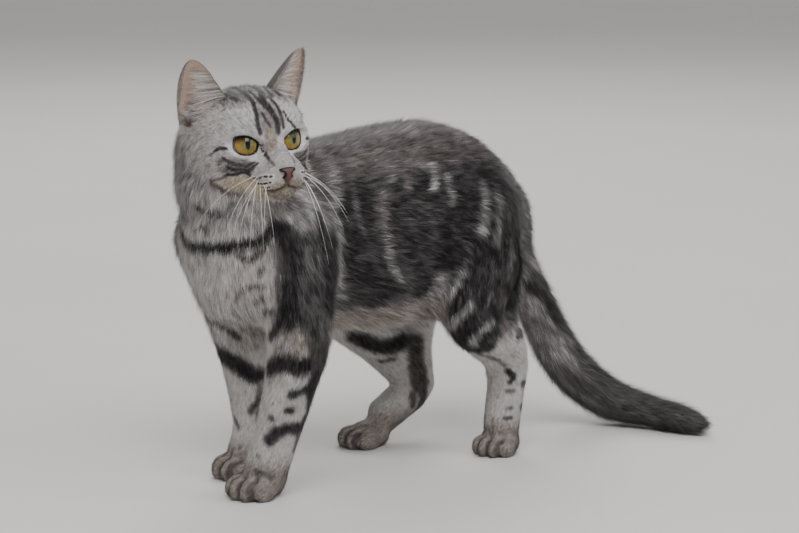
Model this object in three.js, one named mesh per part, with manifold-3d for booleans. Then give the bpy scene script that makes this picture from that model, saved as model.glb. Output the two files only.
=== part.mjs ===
// A domestic shorthair cat, life size, standing and looking over its left shoulder.
// Units are millimetres. +Z is up and the floor is z = 0. The cat faces -Y, and its left side is +X.
// The body is one blended volume, out to the tips of the coat. It is meshed piece by piece,
// each piece at its own fineness, and the pieces are parted by flat cuts.
import * as THREE from "three";
import { mergeVertices } from "three/addons/utils/BufferGeometryUtils.js";
import Module from "manifold-3d";

const solids = await Module();
solids.setup();

// ---------------------------------------------------------------- driving dimensions

const GAP = 0.4; // left between two pieces that touch
const FAR = 1000; // a cutter reaches past the whole cat
const SOLE_SINK = 2; // how far the rounded feet are cut off to make flat soles

// The middle of the model's box on the floor, in the coordinates used below.
const MIDDLE = [17.4, 70];

// The trunk's outline: place along the body, height of back and belly, half width.
const TRUNK = [
  { y: -126, top: 184, bottom: 148, half: 13 },
  { y: -116, top: 204, bottom: 130, half: 31 },
  { y: -92, top: 225, bottom: 117, half: 44 },
  { y: -55, top: 237, bottom: 111, half: 52 },
  { y: -15, top: 240, bottom: 104, half: 57 },
  { y: 35, top: 244.5, bottom: 98, half: 60 },
  { y: 82, top: 245, bottom: 101, half: 56 },
  { y: 120, top: 234, bottom: 113, half: 48 },
  { y: 148, top: 215.5, bottom: 126, half: 38 },
  { y: 168, top: 195, bottom: 138, half: 27 },
  { y: 182, top: 171, bottom: 150, half: 11 },
];

// Chains of joints. Each joint is [x, y, z, radius].
const NECK = [
  [0, -50, 184, 48],
  [-6, -86, 205, 45.5],
  [-6, -94, 234, 42],
];
const TAIL = [
  [0, 156, 168, 17],
  [0, 178, 138, 15.5],
  [3, 197, 101, 17],
  [9, 214.5, 64, 18.5],
  [17, 234, 37.5, 18.8],
  [33, 252, 20, 17.8],
  [62, 263, 13.8, 14],
  [90, 268, 11, 12.5],
  [103, 270, 9, 9.8],
];
const FORELEG_LEFT = [
  [40, -80, 172, 28],
  [50, -84, 116, 24],
  [46, -90, 78, 19],
  [38, -94.5, 44, 16],
  [32.5, -98, 23, 15.5],
];
const FORELEG_RIGHT = [
  [-42, -79, 169, 30],
  [-47, -58, 116, 23],
  [-36, -57, 80, 18.5],
  [-27, -59, 40, 14.5],
  [-26, -64, 22, 14],
];
const HINDLEG_LEFT = [
  [26, 114, 172, 29],
  [42, 97, 141, 33],
  [54, 80, 110, 23.5],
  [50, 106, 86, 19],
  [44, 127, 66, 15],
  [44, 122, 24, 14],
];
const HINDLEG_RIGHT = [
  [-26, 114, 172, 29],
  [-41, 84, 140, 34],
  [-52, 54, 110, 26],
  [-46, 86, 76, 20],
  [-39, 112, 42, 15],
  [-41, 86, 22, 13.5],
];

// The muscle behind each thigh, and the tendon down to its hock.
const HAMSTRING_LEFT = [
  [32, 124, 136, 20],
  [43, 119, 98, 15],
  [44, 126, 66, 12],
];
const HAMSTRING_RIGHT = [
  [-30, 124, 134, 20],
  [-40, 117, 88, 15],
  [-40, 114, 44, 12],
];

// Paws: middle of the sole, heading (0 is straight ahead, positive towards the cat's left), size.
const PAWS = {
  forepaw_left: { at: [28, -104], heading: 8, size: 1 },
  forepaw_right: { at: [-26, -69], heading: -4, size: 1 },
  hindfoot_left: { at: [45, 117], heading: 16, size: 0.88 },
  hindfoot_right: { at: [-42, 66], heading: -4, size: 0.92 },
};
const TOE_OUT = [-13, -4.8, 4.8, 13]; // each toe's place across the paw
const TOE_AHEAD = [7, 13, 13, 7]; // and ahead of the paw's middle

// The head's own frame: ahead, to its left, and up, from the middle of the skull.
const HEAD_AT = [25, -99.5, 251];
const HEAD_TURN = 69; // degrees from straight ahead towards the left shoulder
const HEAD_ROLL = 4; // degrees, left side up
const EYE = {
  at: [15, 13.8, -3],
  radius: 10.5,
  splay: 25, // degrees that each eye looks outwards
  slant: 15, // degrees that the outer corner is raised
  opening: [10.2, 8.2], // half the width and height between the lids
};
const NOSE = { at: [52.5, 0, -20], half: [5.5, 6.2, 4.6] };
const EAR = {
  root: { left: [-22, 25, 6], right: [-22, 29.5, 6] },
  tip: [-9, 39.5, 56],
  facing: { left: 38, right: 44 }, // degrees that each opening turns outwards
  half: 19, // half the width at the root
  flare: 9, // how much wider the inner edge runs out at the root
  cup: 24, // how deep the cup is at the root
  thick: 2.6,
};

// ---------------------------------------------------------------- small vector helpers

const rad = THREE.MathUtils.degToRad;
const add = (a, b) => a.map((v, i) => v + b[i]);
const sub = (a, b) => a.map((v, i) => v - b[i]);
const times = (a, s) => a.map((v) => v * s);
const dot = (a, b) => a[0] * b[0] + a[1] * b[1] + a[2] * b[2];
const size = (a) => Math.hypot(a[0], a[1], a[2]);
const mix = (a, b, t) => a + (b - a) * t;

// ---------------------------------------------------------------- distance fields

// Joins two distances with a fillet of about that width.
function blend(a, b, width) {
  const share = Math.max(width - Math.abs(a - b), 0) / width;
  return Math.min(a, b) - (share * share * width) / 4;
}

const blendAll = (width, fields) => (p) =>
  fields.reduce((d, field) => blend(d, field(p), width), Infinity);
const unite = (fields) => (p) => Math.min(...fields.map((field) => field(p)));

const smoothCurve = (points) =>
  new THREE.CatmullRomCurve3(points.map((p) => new THREE.Vector3(...p)), false, "catmullrom");

// A rounded bar between two joints [x, y, z, radius].
function bar(from, to) {
  const a = from.slice(0, 3);
  const along = sub(to.slice(0, 3), a);
  const length2 = dot(along, along);
  return (p) => {
    const offset = sub(p, a);
    const t = THREE.MathUtils.clamp(dot(offset, along) / length2, 0, 1);
    return size(sub(offset, times(along, t))) - mix(from[3], to[3], t);
  };
}

// Rounded bars along a smooth curve through the joints.
function chain(joints) {
  const BARS = 3; // between two joints
  const last = joints.length - 1;
  const curve = smoothCurve(joints.map((joint) => joint.slice(0, 3)));
  const along = [...Array(last * BARS + 1).keys()].map((k) => {
    const i = Math.min(Math.floor(k / BARS), last - 1);
    const radius = mix(joints[i][3], joints[i + 1][3], k / BARS - i);
    return [...curve.getPoint(k / BARS / last).toArray(), radius];
  });
  return unite(along.slice(1).map((end, i) => bar(along[i], end)));
}

// An ellipsoid with its half axes along x, y and z.
function egg(centre, half) {
  return (p) => {
    const q = sub(p, centre);
    const near = size(q.map((v, i) => v / half[i]));
    const slope = size(q.map((v, i) => v / half[i] ** 2));
    return slope > 0 ? (near * (near - 1)) / slope : -Math.min(...half);
  };
}

// The trunk: ovals whose size runs smoothly along the body.
function trunkField() {
  const curve = smoothCurve(TRUNK.map((s) => [s.top, s.bottom, s.half]));
  const first = TRUNK[0].y;
  const last = TRUNK.at(-1).y;
  const section = (y) => {
    const at = THREE.MathUtils.clamp(y, first, last - 1e-6);
    const i = TRUNK.findLastIndex((s) => s.y <= at);
    const t = (at - TRUNK[i].y) / (TRUNK[i + 1].y - TRUNK[i].y);
    return curve.getPoint((i + t) / (TRUNK.length - 1));
  };
  return (p) => {
    const s = section(p[1]);
    const high = (s.x - s.y) / 2;
    const q = [p[0] / s.z, (p[2] - (s.x + s.y) / 2) / high];
    const near = Math.hypot(...q);
    const slope = Math.hypot(q[0] / s.z, q[1] / high);
    const across = slope > 0 ? (near * (near - 1)) / slope : -s.z;
    return Math.max(across, first - p[1], p[1] - last);
  };
}

// A paw: an oval pad of flesh with four toes in front.
function pawField({ at, heading, size: scale }) {
  const ahead = [Math.sin(rad(heading)), -Math.cos(rad(heading))];
  const local = (p) => {
    const q = [p[0] - at[0], p[1] - at[1]];
    return [
      (q[0] * -ahead[1] + q[1] * ahead[0]) / scale,
      (q[0] * ahead[0] + q[1] * ahead[1]) / scale,
      (p[2] + SOLE_SINK) / scale,
    ];
  };
  const toes = TOE_OUT.map((out, i) =>
    egg([out, TOE_AHEAD[i], 9], [6.1, 10.5, 9.2]),
  );
  const flesh = egg([0, -4, 11], [16, 17, 12.5]);
  const together = blendAll(4, [...toes, flesh]);
  return (p) => together(local(p)) * scale;
}

// ---------------------------------------------------------------- the head

const headAxes = (() => {
  const ahead = [Math.sin(rad(HEAD_TURN)), -Math.cos(rad(HEAD_TURN)), 0];
  const level = [-ahead[1], ahead[0], 0];
  const roll = rad(HEAD_ROLL);
  const left = add(times(level, Math.cos(roll)), [0, 0, Math.sin(roll)]);
  const up = add(times(level, -Math.sin(roll)), [0, 0, Math.cos(roll)]);
  return [ahead, left, up];
})();

const toHead = (p) => headAxes.map((axis) => dot(sub(p, HEAD_AT), axis));
const fromHead = (q) =>
  headAxes.reduce((p, axis, i) => add(p, times(axis, q[i])), HEAD_AT);

// Both of a pair: eggs mirrored about the head's middle plane.
const pair = (centre, half) =>
  unite([-1, 1].map((side) => egg([centre[0], side * centre[1], centre[2]], half)));

function headField() {
  const skull = egg([-13, 0, 3], [37, 36, 30]);
  const forehead = egg([7, 0, 7], [24, 27, 20]);
  const cheeks = pair([-5, 19.5, -14], [25, 16.5, 21]);
  const face = blendAll(9, [skull, forehead, cheeks]);
  const jaw = bar([4, 0, -23, 16], [34, 0, -30, 9.5]);
  const bridge = bar([20, 0, -1, 10], [48, 0, -17, 6.5]);
  const muzzle = egg([26, 0, -20], [20, 19, 11.5]);
  const lips = pair([40.5, 7.2, -24], [13, 9.6, 8.8]);
  const chin = egg([38.5, 0, -33.5], [9.5, 8.5, 6.5]);
  const earRoots = pair([-24, 31, 8], [15, 12, 17]);
  const eyeRims = pair([10, 17.5, -3], [13.5, 14, 12.5]);
  const whole = blendAll(7, [face, jaw, bridge, muzzle, lips, chin, earRoots, eyeRims]);
  return (p) => whole(toHead(p));
}

// A place in the head's frame, or its mirror image when the second value is -1.
const mirrored = (q, mirror) => [q[0], mirror * q[1], q[2]];

// ---------------------------------------------------------------- the whole cat as one volume

const hindlimb = (leg, hamstring) => blendAll(12, [chain(leg), chain(hamstring)]);
const legs = unite([
  blendAll(8, [chain(FORELEG_LEFT), pawField(PAWS.forepaw_left)]),
  blendAll(8, [chain(FORELEG_RIGHT), pawField(PAWS.forepaw_right)]),
  blendAll(8, [hindlimb(HINDLEG_LEFT, HAMSTRING_LEFT), pawField(PAWS.hindfoot_left)]),
  blendAll(8, [hindlimb(HINDLEG_RIGHT, HAMSTRING_RIGHT), pawField(PAWS.hindfoot_right)]),
]);
const core = blendAll(22, [trunkField(), chain(NECK), chain(TAIL)]);
const cat = blendAll(12, [blendAll(20, [core, legs]), headField()]);

// ---------------------------------------------------------------- meshing and cutting

function asSolid(geometry) {
  const bare = geometry.clone();
  bare.deleteAttribute("normal");
  bare.deleteAttribute("uv");
  const merged = mergeVertices(bare, 1e-4);
  return new solids.Manifold(
    new solids.Mesh({
      numProp: 3,
      vertProperties: new Float32Array(merged.attributes.position.array),
      triVerts: new Uint32Array(merged.index.array),
    }),
  );
}

function asGeometry(solid) {
  const mesh = solid.getMesh();
  const geometry = new THREE.BufferGeometry()
    .setAttribute("position", new THREE.BufferAttribute(mesh.vertProperties, 3))
    .setIndex(new THREE.BufferAttribute(mesh.triVerts, 1));
  geometry.computeVertexNormals();
  return geometry;
}

// Meshes the field's zero surface inside a box of cells: one point for each cell that the
// surface crosses, then one four-sided face for each crossed edge. The box's rim counts as outside.
function meshField(field, low, high, cell) {
  const count = low.map((v, i) => Math.ceil((high[i] - v) / cell[i]) + 1);
  const stride = [1, count[0], count[0] * count[1]];
  const place = (i) => low.map((v, k) => v + cell[k] * i[k]);
  const values = new Float64Array(count[0] * count[1] * count[2]);
  const each = (visit) => {
    const i = [0, 0, 0];
    for (i[2] = 0; i[2] < count[2]; i[2]++)
      for (i[1] = 0; i[1] < count[1]; i[1]++)
        for (i[0] = 0; i[0] < count[0]; i[0]++)
          visit(i, dot(i, stride));
  };
  each((i, at) => {
    const rim = i.some((v, k) => v === 0 || v === count[k] - 1);
    values[at] = rim ? Math.max(field(place(i)), 0.5) : field(place(i));
  });
  fillAlternating(values, count, stride, each);

  const corners = [...Array(8).keys()].map((c) => [c & 1, (c >> 1) & 1, c >> 2]);
  const edges = corners.flatMap((c, a) =>
    [0, 1, 2].filter((k) => !c[k]).map((k) => [a, a + (1 << k)]),
  );
  const points = [];
  const pointOf = new Map();
  each((i, at) => {
    if (i.some((v, k) => v >= count[k] - 1)) return;
    const inside = corners.map((c) => values[at + dot(c, stride)]);
    if (inside.every((v) => v < 0) || inside.every((v) => v >= 0)) return;
    let sum = [0, 0, 0];
    let crossed = 0;
    for (const [a, b] of edges) {
      if (inside[a] < 0 === inside[b] < 0) continue;
      const t = inside[a] / (inside[a] - inside[b]);
      sum = add(sum, corners[a].map((v, k) => mix(v, corners[b][k], t)));
      crossed++;
    }
    const middle = times(sum, 1 / crossed);
    pointOf.set(at, points.length);
    points.push(settle(field, place(i), middle, cell));
  });

  const faces = [];
  each((i, at) => {
    for (const k of [0, 1, 2]) {
      const [m, n] = [(k + 1) % 3, (k + 2) % 3];
      if (i[k] >= count[k] - 1 || i[m] < 1 || i[n] < 1) continue;
      const out = values[at] >= 0;
      if (out === values[at + stride[k]] >= 0) continue;
      const ring = [at, at - stride[m], at - stride[m] - stride[n], at - stride[n]];
      const quad = ring.map((cellAt) => pointOf.get(cellAt));
      if (out) quad.reverse();
      faces.push(...splitQuad(quad, points));
    }
  });
  const geometry = new THREE.BufferGeometry();
  geometry.setAttribute("position", new THREE.Float32BufferAttribute(points.flat(), 3));
  geometry.setIndex(faces);
  return asSolid(geometry);
}

// Fills one corner of each side of a cell whose corners alternate between inside and outside,
// so that no edge of the mesh carries four faces.
function fillAlternating(values, count, stride, each) {
  const FILLED = -0.1;
  each((i, at) => {
    for (const k of [0, 1, 2]) {
      const [m, n] = [(k + 1) % 3, (k + 2) % 3];
      if (i[m] >= count[m] - 1 || i[n] >= count[n] - 1) continue;
      const ring = [at, at + stride[m], at + stride[m] + stride[n], at + stride[n]];
      const [a, b, c, d] = ring.map((corner) => values[corner] < 0);
      if (a !== c || b !== d || a === b) continue;
      const outside = ring.filter((corner) => values[corner] >= 0);
      outside.sort((p, q) => values[p] - values[q]);
      values[outside[0]] = FILLED;
    }
  });
}

// Moves a cell's point onto the field's zero surface, but keeps it well inside the cell.
function settle(field, corner, share, cell) {
  const step = 0.5;
  const inside = (p) =>
    p.map((v, k) => {
      const [from, to] = [corner[k] + 0.04 * cell[k], corner[k] + 0.96 * cell[k]];
      return THREE.MathUtils.clamp(v, from, to);
    });
  let p = corner.map((v, k) => v + share[k] * cell[k]);
  for (let pass = 0; pass < 3; pass++) {
    const d = field(p);
    const slope = [0, 1, 2].map((k) => {
      const shift = [0, 0, 0];
      shift[k] = step;
      return (field(add(p, shift)) - field(sub(p, shift))) / (2 * step);
    });
    p = inside(sub(p, times(slope, d / Math.max(dot(slope, slope), 0.1))));
  }
  return p;
}

// Two triangles for a four-sided face, parted along its shorter diagonal.
function splitQuad([a, b, c, d], points) {
  const gap = (m, n) => size(sub(points[m], points[n]));
  return gap(a, c) < gap(b, d) ? [a, b, c, a, c, d] : [a, b, d, b, c, d];
}

// A block with one face on a plane: it fills the side that the normal points to.
function side(point, normal) {
  const block = new THREE.BoxGeometry(2 * FAR, 2 * FAR, FAR).translate(0, 0, FAR / 2);
  const turn = new THREE.Quaternion().setFromUnitVectors(
    new THREE.Vector3(0, 0, 1),
    new THREE.Vector3(...normal).normalize(),
  );
  return asSolid(block.applyQuaternion(turn).translate(...point));
}

const largest = (solid) =>
  solid.decompose().reduce((a, b) => (b.volume() > a.volume() ? b : a));

function box(low, high) {
  const span = sub(high, low);
  const middle = times(add(low, high), 0.5);
  return asSolid(new THREE.BoxGeometry(...span).translate(...middle));
}

// ---------------------------------------------------------------- where the pieces part

// A cut is a point and a direction. A piece keeps one side of it, half a gap short.
function cutSide({ point, normal }, sign) {
  const n = times(normal, sign / size(normal));
  return side(add(point, times(n, GAP / 2)), n);
}

const FLOOR = side([0, 0, 0], [0, 0, 1]);
const HEAD_CUT = { point: [10, -95, 211], normal: [0.1, -0.42, 0.9] };
const SHOULDER_CUT = { point: [0, -130, 160], normal: [0, -0.6, 0.8] };
const TAIL_CUTS = [1, 3, 5].map((joint) => ({
  point: TAIL[joint].slice(0, 3),
  normal: sub(TAIL[joint + 1].slice(0, 3), TAIL[joint - 1].slice(0, 3)),
}));

// A leg is what lies in a block beside the middle plane. A hind leg's block is also cut
// by a plane that leans out from the belly. Right legs use the mirror image.
const THIGH_CUT = { at: [37, 0, 126], normal: [0.85, 0, -0.53] };
const LEGS = {
  foreleg_left: { from: -140, to: -25, top: 101, ankle: 27, paw: "forepaw_left", mirror: 1 },
  foreleg_right: { from: -140, to: -12, top: 101, ankle: 27, paw: "forepaw_right", mirror: -1 },
  hindleg_left: {
    from: 26, to: 158, top: 134, ankle: 36, paw: "hindfoot_left", mirror: 1, cut: THIGH_CUT,
  },
  hindleg_right: {
    from: 18, to: 158, top: 134, ankle: 27, paw: "hindfoot_right", mirror: -1, cut: THIGH_CUT,
  },
};
const LEG_INNER = 2; // the blocks' nearest face to the middle plane
const LEG_OUTER = 110;

function legBlock({ from, to, top, mirror, cut }, grow) {
  const span = [mirror * (LEG_INNER - grow), mirror * (LEG_OUTER + grow)].sort((a, b) => a - b);
  const block = box([span[0], from - grow, -20], [span[1], to + grow, top + grow]);
  if (!cut) return block;
  const n = times(cut.normal, 1 / size(cut.normal));
  const at = sub(cut.at, times(n, grow));
  const flip = (p) => [mirror * p[0], p[1], p[2]];
  return block.intersect(side(flip(at), flip(n)));
}

// ---------------------------------------------------------------- the pieces

const pieces = {};

// The head: a mesh of its own fineness, with sockets cut for the eyes and the nose.
const HEAD_BOX = [[-62, -162, 186], [102, -26, 296]];
const HEAD_CELL = [8, 8, 8];
const ball = (radius) => new THREE.SphereGeometry(radius, 12, 8).rotateX(Math.PI / 2);

// Turns a shape from the head's frame, x ahead and z up, and puts it at a place in that frame.
function placeOnHead(shape, at) {
  const basis = new THREE.Matrix4().makeBasis(...headAxes.map((a) => new THREE.Vector3(...a)));
  return shape.applyMatrix4(basis).translate(...fromHead(at));
}

function noseGeometry(grow) {
  return placeOnHead(ball(1).scale(...NOSE.half.map((v) => v + grow)), NOSE.at);
}

// The opening between the lids: a cone that widens outwards from inside the eyeball.
function lidOpening(mirror) {
  const [wide, high] = EYE.opening;
  const cone = new THREE.CylinderGeometry(1.5, 1, 8, 14).rotateZ(-Math.PI / 2);
  cone.translate(EYE.radius + 2, 0, 0).scale(1, wide, high);
  cone.rotateX(mirror * rad(EYE.slant)).rotateZ(mirror * rad(EYE.splay));
  return placeOnHead(cone, mirrored(EYE.at, mirror));
}

const SIDES = { left: 1, right: -1 };
const headMesh = meshField(cat, ...HEAD_BOX, HEAD_CELL).intersect(cutSide(HEAD_CUT, 1));
pieces.head = headMesh.subtract(asSolid(noseGeometry(GAP)));
pieces.nose = asSolid(noseGeometry(0));
for (const [name, mirror] of Object.entries(SIDES)) {
  const at = fromHead(mirrored(EYE.at, mirror));
  pieces[`eye_${name}`] = asSolid(ball(EYE.radius).translate(...at));
  const socket = asSolid(ball(EYE.radius + GAP).translate(...at));
  pieces.head = pieces.head.subtract(socket.add(asSolid(lidOpening(mirror))));
}

// An ear: a cupped shell that stands on the skull. Its rings run up from root to tip, and each
// goes across the back of the shell and returns along the inside. The inner edge is straighter
// than the outer one.
function earShell(mirror) {
  const LEVELS = 7;
  const ACROSS = 6;
  const name = mirror > 0 ? "left" : "right";
  const turn = rad(EAR.facing[name]);
  const facing = [Math.cos(turn), mirror * Math.sin(turn), 0];
  const outwards = [-Math.sin(turn), mirror * Math.cos(turn), 0];
  const root = mirrored(EAR.root[name], mirror);
  const tip = mirrored(EAR.tip, mirror);
  const ring = (h) => {
    const inner = EAR.half * (1 - h ** 2.6) ** 0.5 + EAR.flare * Math.max(1 - h / 0.7, 0);
    const outer = EAR.half * (1 - h ** 2.2) ** 0.6;
    const deep = EAR.cup * (1 - h) ** 0.6;
    const centre = root.map((v, i) => mix(v, tip[i], h));
    const at = (s, inside) => {
      const wide = Math.max(s < 0 ? inner : outer, 1.6);
      const bend = (s * s - 1) * deep + inside * EAR.thick * (1 - 0.55 * s * s);
      return fromHead(add(centre, add(times(outwards, s * wide), times(facing, bend))));
    };
    const steps = [...Array(ACROSS + 1).keys()].map((i) => (2 * i) / ACROSS - 1);
    return [...steps.map((s) => at(s, 0)), ...steps.reverse().map((s) => at(s, 1))];
  };
  const rings = [...Array(LEVELS + 1).keys()].map((level) => ring(level / LEVELS));
  return loft(rings, mirror > 0);
}

// A closed solid through rings that all have the same number of points. Each end is closed
// by a strip across the ring, which is two rows of points face to face.
function loft(rings, reversed) {
  const n = rings[0].length;
  const faces = [];
  for (let r = 1; r < rings.length; r++)
    for (let i = 0; i < n; i++) {
      const [a, b] = [(r - 1) * n + i, (r - 1) * n + ((i + 1) % n)];
      faces.push([a, b, b + n], [a, b + n, a + n]);
    }
  const top = (rings.length - 1) * n;
  for (let i = 0; i < n / 2 - 1; i++) {
    const [a, b, c, d] = [i, i + 1, n - 2 - i, n - 1 - i];
    faces.push([a, c, b], [a, d, c]);
    faces.push([top + a, top + b, top + c], [top + a, top + c, top + d]);
  }
  const geometry = new THREE.BufferGeometry();
  geometry.setAttribute("position", new THREE.Float32BufferAttribute(rings.flat(2), 3));
  geometry.setIndex(faces.flatMap((face) => (reversed ? face.reverse() : face)));
  return asSolid(geometry);
}

const aroundHead = meshField((p) => cat(p) - 1.5 * GAP, ...HEAD_BOX, HEAD_CELL);
for (const [name, mirror] of Object.entries(SIDES))
  pieces[`ear_${name}`] = largest(earShell(mirror).subtract(aroundHead));

pieces.neck = meshField(cat, [-65, -160, 145], [70, 5, 282], [12, 12, 12])
  .intersect(cutSide(HEAD_CUT, -1))
  .intersect(cutSide(SHOULDER_CUT, 1));

// The legs, each in two lengths: the limb, and the paw at its own fineness.
for (const [name, leg] of Object.entries(LEGS)) {
  const [x, y] = PAWS[leg.paw].at;
  const inner = -12 * leg.mirror;
  const outer = 95 * leg.mirror;
  const limb = meshField(
    cat,
    [Math.min(inner, outer), leg.from - 12, leg.ankle - 13],
    [Math.max(inner, outer), leg.to + 12, leg.top + 16],
    [10.5, 10.5, 13],
  );
  const reach = [x + 34, y + 56, leg.ankle + 10];
  const paw = meshField(cat, [x - 34, y - 34, -7], reach, [6.2, 6.2, 6.2]);
  const block = legBlock(leg, 0).intersect(FLOOR);
  const ankle = { point: [0, 0, leg.ankle], normal: [0, 0, 1] };
  pieces[name] = limb.intersect(block).intersect(cutSide(ankle, 1));
  pieces[leg.paw] = paw.intersect(block).intersect(cutSide(ankle, -1));
}

// The tail, in three lengths, and the trunk, which is all that is left.
const withoutLegs = (solid) =>
  Object.values(LEGS).reduce((rest, leg) => rest.subtract(legBlock(leg, GAP)), solid);
const tail = withoutLegs(
  meshField(cat, [-32, 140, -8], [124, 300, 190], [9.5, 9.5, 9.5]).intersect(FLOOR),
);
TAIL_CUTS.forEach((cut, i) => {
  const name = ["tail_base", "tail_middle", "tail_tip"][i];
  const length = tail.intersect(cutSide(cut, 1));
  const next = TAIL_CUTS[i + 1];
  pieces[name] = next ? length.intersect(cutSide(next, -1)) : length;
});
const body = meshField(cat, [-92, -148, 78], [92, 212, 262], [16, 16, 16]);
pieces.trunk = withoutLegs(body)
  .intersect(cutSide(SHOULDER_CUT, -1))
  .intersect(cutSide(TAIL_CUTS[0], -1));

// ---------------------------------------------------------------- materials and the scene graph

const finish = (color, roughness) =>
  new THREE.MeshStandardMaterial({ color, roughness, metalness: 0 });
const DARK_FUR = "#6f6a69";
const PALE_FUR = "#a5a19d";
const FINISHES = {
  eye: ["#b88a2e", 0.1],
  nose: ["#8a4f42", 0.5],
  forepaw: [PALE_FUR, 0.9],
  hindfoot: [PALE_FUR, 0.9],
};

const model = new THREE.Group();
for (const [name, solid] of Object.entries(pieces)) {
  const [kind] = name.split("_");
  const mesh = new THREE.Mesh(asGeometry(solid), finish(...(FINISHES[kind] ?? [DARK_FUR, 0.9])));
  mesh.name = name;
  model.add(mesh);
}
model.position.set(-MIDDLE[0], -MIDDLE[1], 0);

export default model;
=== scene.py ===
import math

import bmesh
import bpy
import numpy as np
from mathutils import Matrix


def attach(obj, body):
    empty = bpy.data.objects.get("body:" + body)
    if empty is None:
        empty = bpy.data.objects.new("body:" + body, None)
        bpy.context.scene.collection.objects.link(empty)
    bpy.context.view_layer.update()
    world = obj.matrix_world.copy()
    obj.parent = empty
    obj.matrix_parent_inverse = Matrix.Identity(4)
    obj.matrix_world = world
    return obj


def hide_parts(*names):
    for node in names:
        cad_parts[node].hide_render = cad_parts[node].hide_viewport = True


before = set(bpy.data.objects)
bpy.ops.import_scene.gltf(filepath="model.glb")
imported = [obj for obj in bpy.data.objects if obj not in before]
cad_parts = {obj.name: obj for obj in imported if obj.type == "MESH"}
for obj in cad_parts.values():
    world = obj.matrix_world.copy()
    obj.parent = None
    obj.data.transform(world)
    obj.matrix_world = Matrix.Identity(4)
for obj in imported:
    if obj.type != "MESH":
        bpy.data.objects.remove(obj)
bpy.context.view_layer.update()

import openvdb
from mathutils import Vector

bl_info = {
    "name": "Standing tabby cat",
    "version": (1, 0, 0),
    "blender": (4, 5, 0),
    "location": "View3D > Sidebar > Cat",
    "description": "Skin, coat, eyes, nose and whiskers of a life-size standing silver tabby cat",
    "category": "Object",
}

# Sizes and places are in millimetres. +Z is up, the floor is z = 0, the cat faces -Y and its
# left side is +X. MIDDLE is the frame's own middle in these coordinates.
MM = 0.001
MIDDLE = np.array([17.4, 70.0, 0.0])
FAR = 1000.0

# ---------------------------------------------------------------- the body's driving dimensions

# Place along the body, height of back and of belly, half width.
TRUNK = np.array([
    (-126, 184, 148, 13),
    (-116, 204, 130, 31),
    (-92, 225, 117, 44),
    (-55, 237, 111, 52),
    (-15, 240, 104, 57),
    (35, 244.5, 98, 60),
    (82, 245, 101, 56),
    (120, 234, 113, 48),
    (148, 215.5, 126, 38),
    (168, 195, 138, 27),
    (182, 171, 150, 11),
], float)

# Chains of joints: x, y, z, radius.
NECK = [(0, -50, 184, 48), (-6, -86, 205, 45.5), (-6, -94, 234, 42)]
TAIL = [
    (0, 156, 168, 17),
    (0, 178, 138, 15.5),
    (3, 197, 101, 17),
    (9, 214.5, 64, 18.5),
    (17, 234, 37.5, 18.8),
    (33, 252, 20, 17.8),
    (62, 263, 13.8, 14),
    (90, 268, 11, 12.5),
    (103, 270, 9, 9.8),
]
LEGS = {
    "foreleg_left": [
        (40, -80, 172, 28), (50, -84, 116, 24), (46, -90, 78, 19), (38, -94.5, 44, 16),
        (32.5, -98, 23, 15.5),
    ],
    "foreleg_right": [
        (-42, -79, 169, 30), (-47, -58, 116, 23), (-36, -57, 80, 18.5), (-27, -59, 40, 14.5),
        (-26, -64, 22, 14),
    ],
    "hindleg_left": [
        (26, 114, 172, 29), (42, 97, 141, 33), (54, 80, 110, 23.5), (50, 106, 86, 19),
        (44, 127, 66, 15), (44, 122, 24, 14),
    ],
    "hindleg_right": [
        (-26, 114, 172, 29), (-41, 84, 140, 34), (-52, 54, 110, 26), (-46, 86, 76, 20),
        (-39, 112, 42, 15), (-41, 86, 22, 13.5),
    ],
}
# The muscle behind each thigh, and the tendon down to its hock.
HAMSTRINGS = {
    "hindleg_left": [(32, 124, 136, 20), (43, 119, 98, 15), (44, 126, 66, 12)],
    "hindleg_right": [(-30, 124, 134, 20), (-40, 117, 88, 15), (-40, 114, 44, 12)],
}
# Middle of each sole, heading in degrees (positive towards the cat's left), size.
PAWS = {
    "foreleg_left": ((28, -104), 8, 1.0),
    "foreleg_right": ((-26, -69), -4, 1.0),
    "hindleg_left": ((45, 117), 16, 0.88),
    "hindleg_right": ((-42, 66), -4, 0.92),
}
TOES = [(-13, 7), (-4.8, 13), (4.8, 13), (13, 7)]  # each toe's place across and ahead
TOE_HALF = (6.1, 10.5, 9.2)
# Widths of the fillets where parts meet.
FILLET = {
    "toes": 1.6, "sole": 4, "paw": 8, "hamstring": 12, "trunk": 22, "legs": 20, "head": 12,
    "skull": 9, "features": 7,
}
SOLE_SINK = 2.0  # how far the rounded feet reach below the floor before they are flattened

# The head's own frame: ahead, to its left and up, from the middle of the skull.
HEAD_AT = np.array([25, -99.5, 251])
HEAD_TURN = 69  # degrees from straight ahead towards the left shoulder
HEAD_ROLL = 4  # degrees, left side up
EYE_AT = np.array([15, 13.8, -3])
EYE_RADIUS = 10.5
LIDS_SPLAY = 25  # degrees that the lids face outwards
GAZE_SPLAY = 15  # degrees that each eye looks outwards
GAZE_RISE = 4  # and upwards
EYE_BULGE = 0.9  # how far the front of the eye bulges out
PUPIL_HALF = (1.6, 3.3)
IRIS_EDGE = (10.1, 10.45)  # where the dark rim starts and is full
EYE_SLANT = 15  # degrees that the outer corner is raised
LIDS_HALF = (8.1, 6.2)  # half the width and height between the lids
UPPER_LID = 0.9  # the upper lid's height, as a share of the lower one's
INNER_CORNER = (6, 10.2)  # from and to, inwards: the narrow corner towards the nose
LIDS_DEPTH = 5.6  # ahead of the eye's middle, where the opening's floor lies
NOSE_AT = np.array([52.5, 0, -20])
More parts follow.
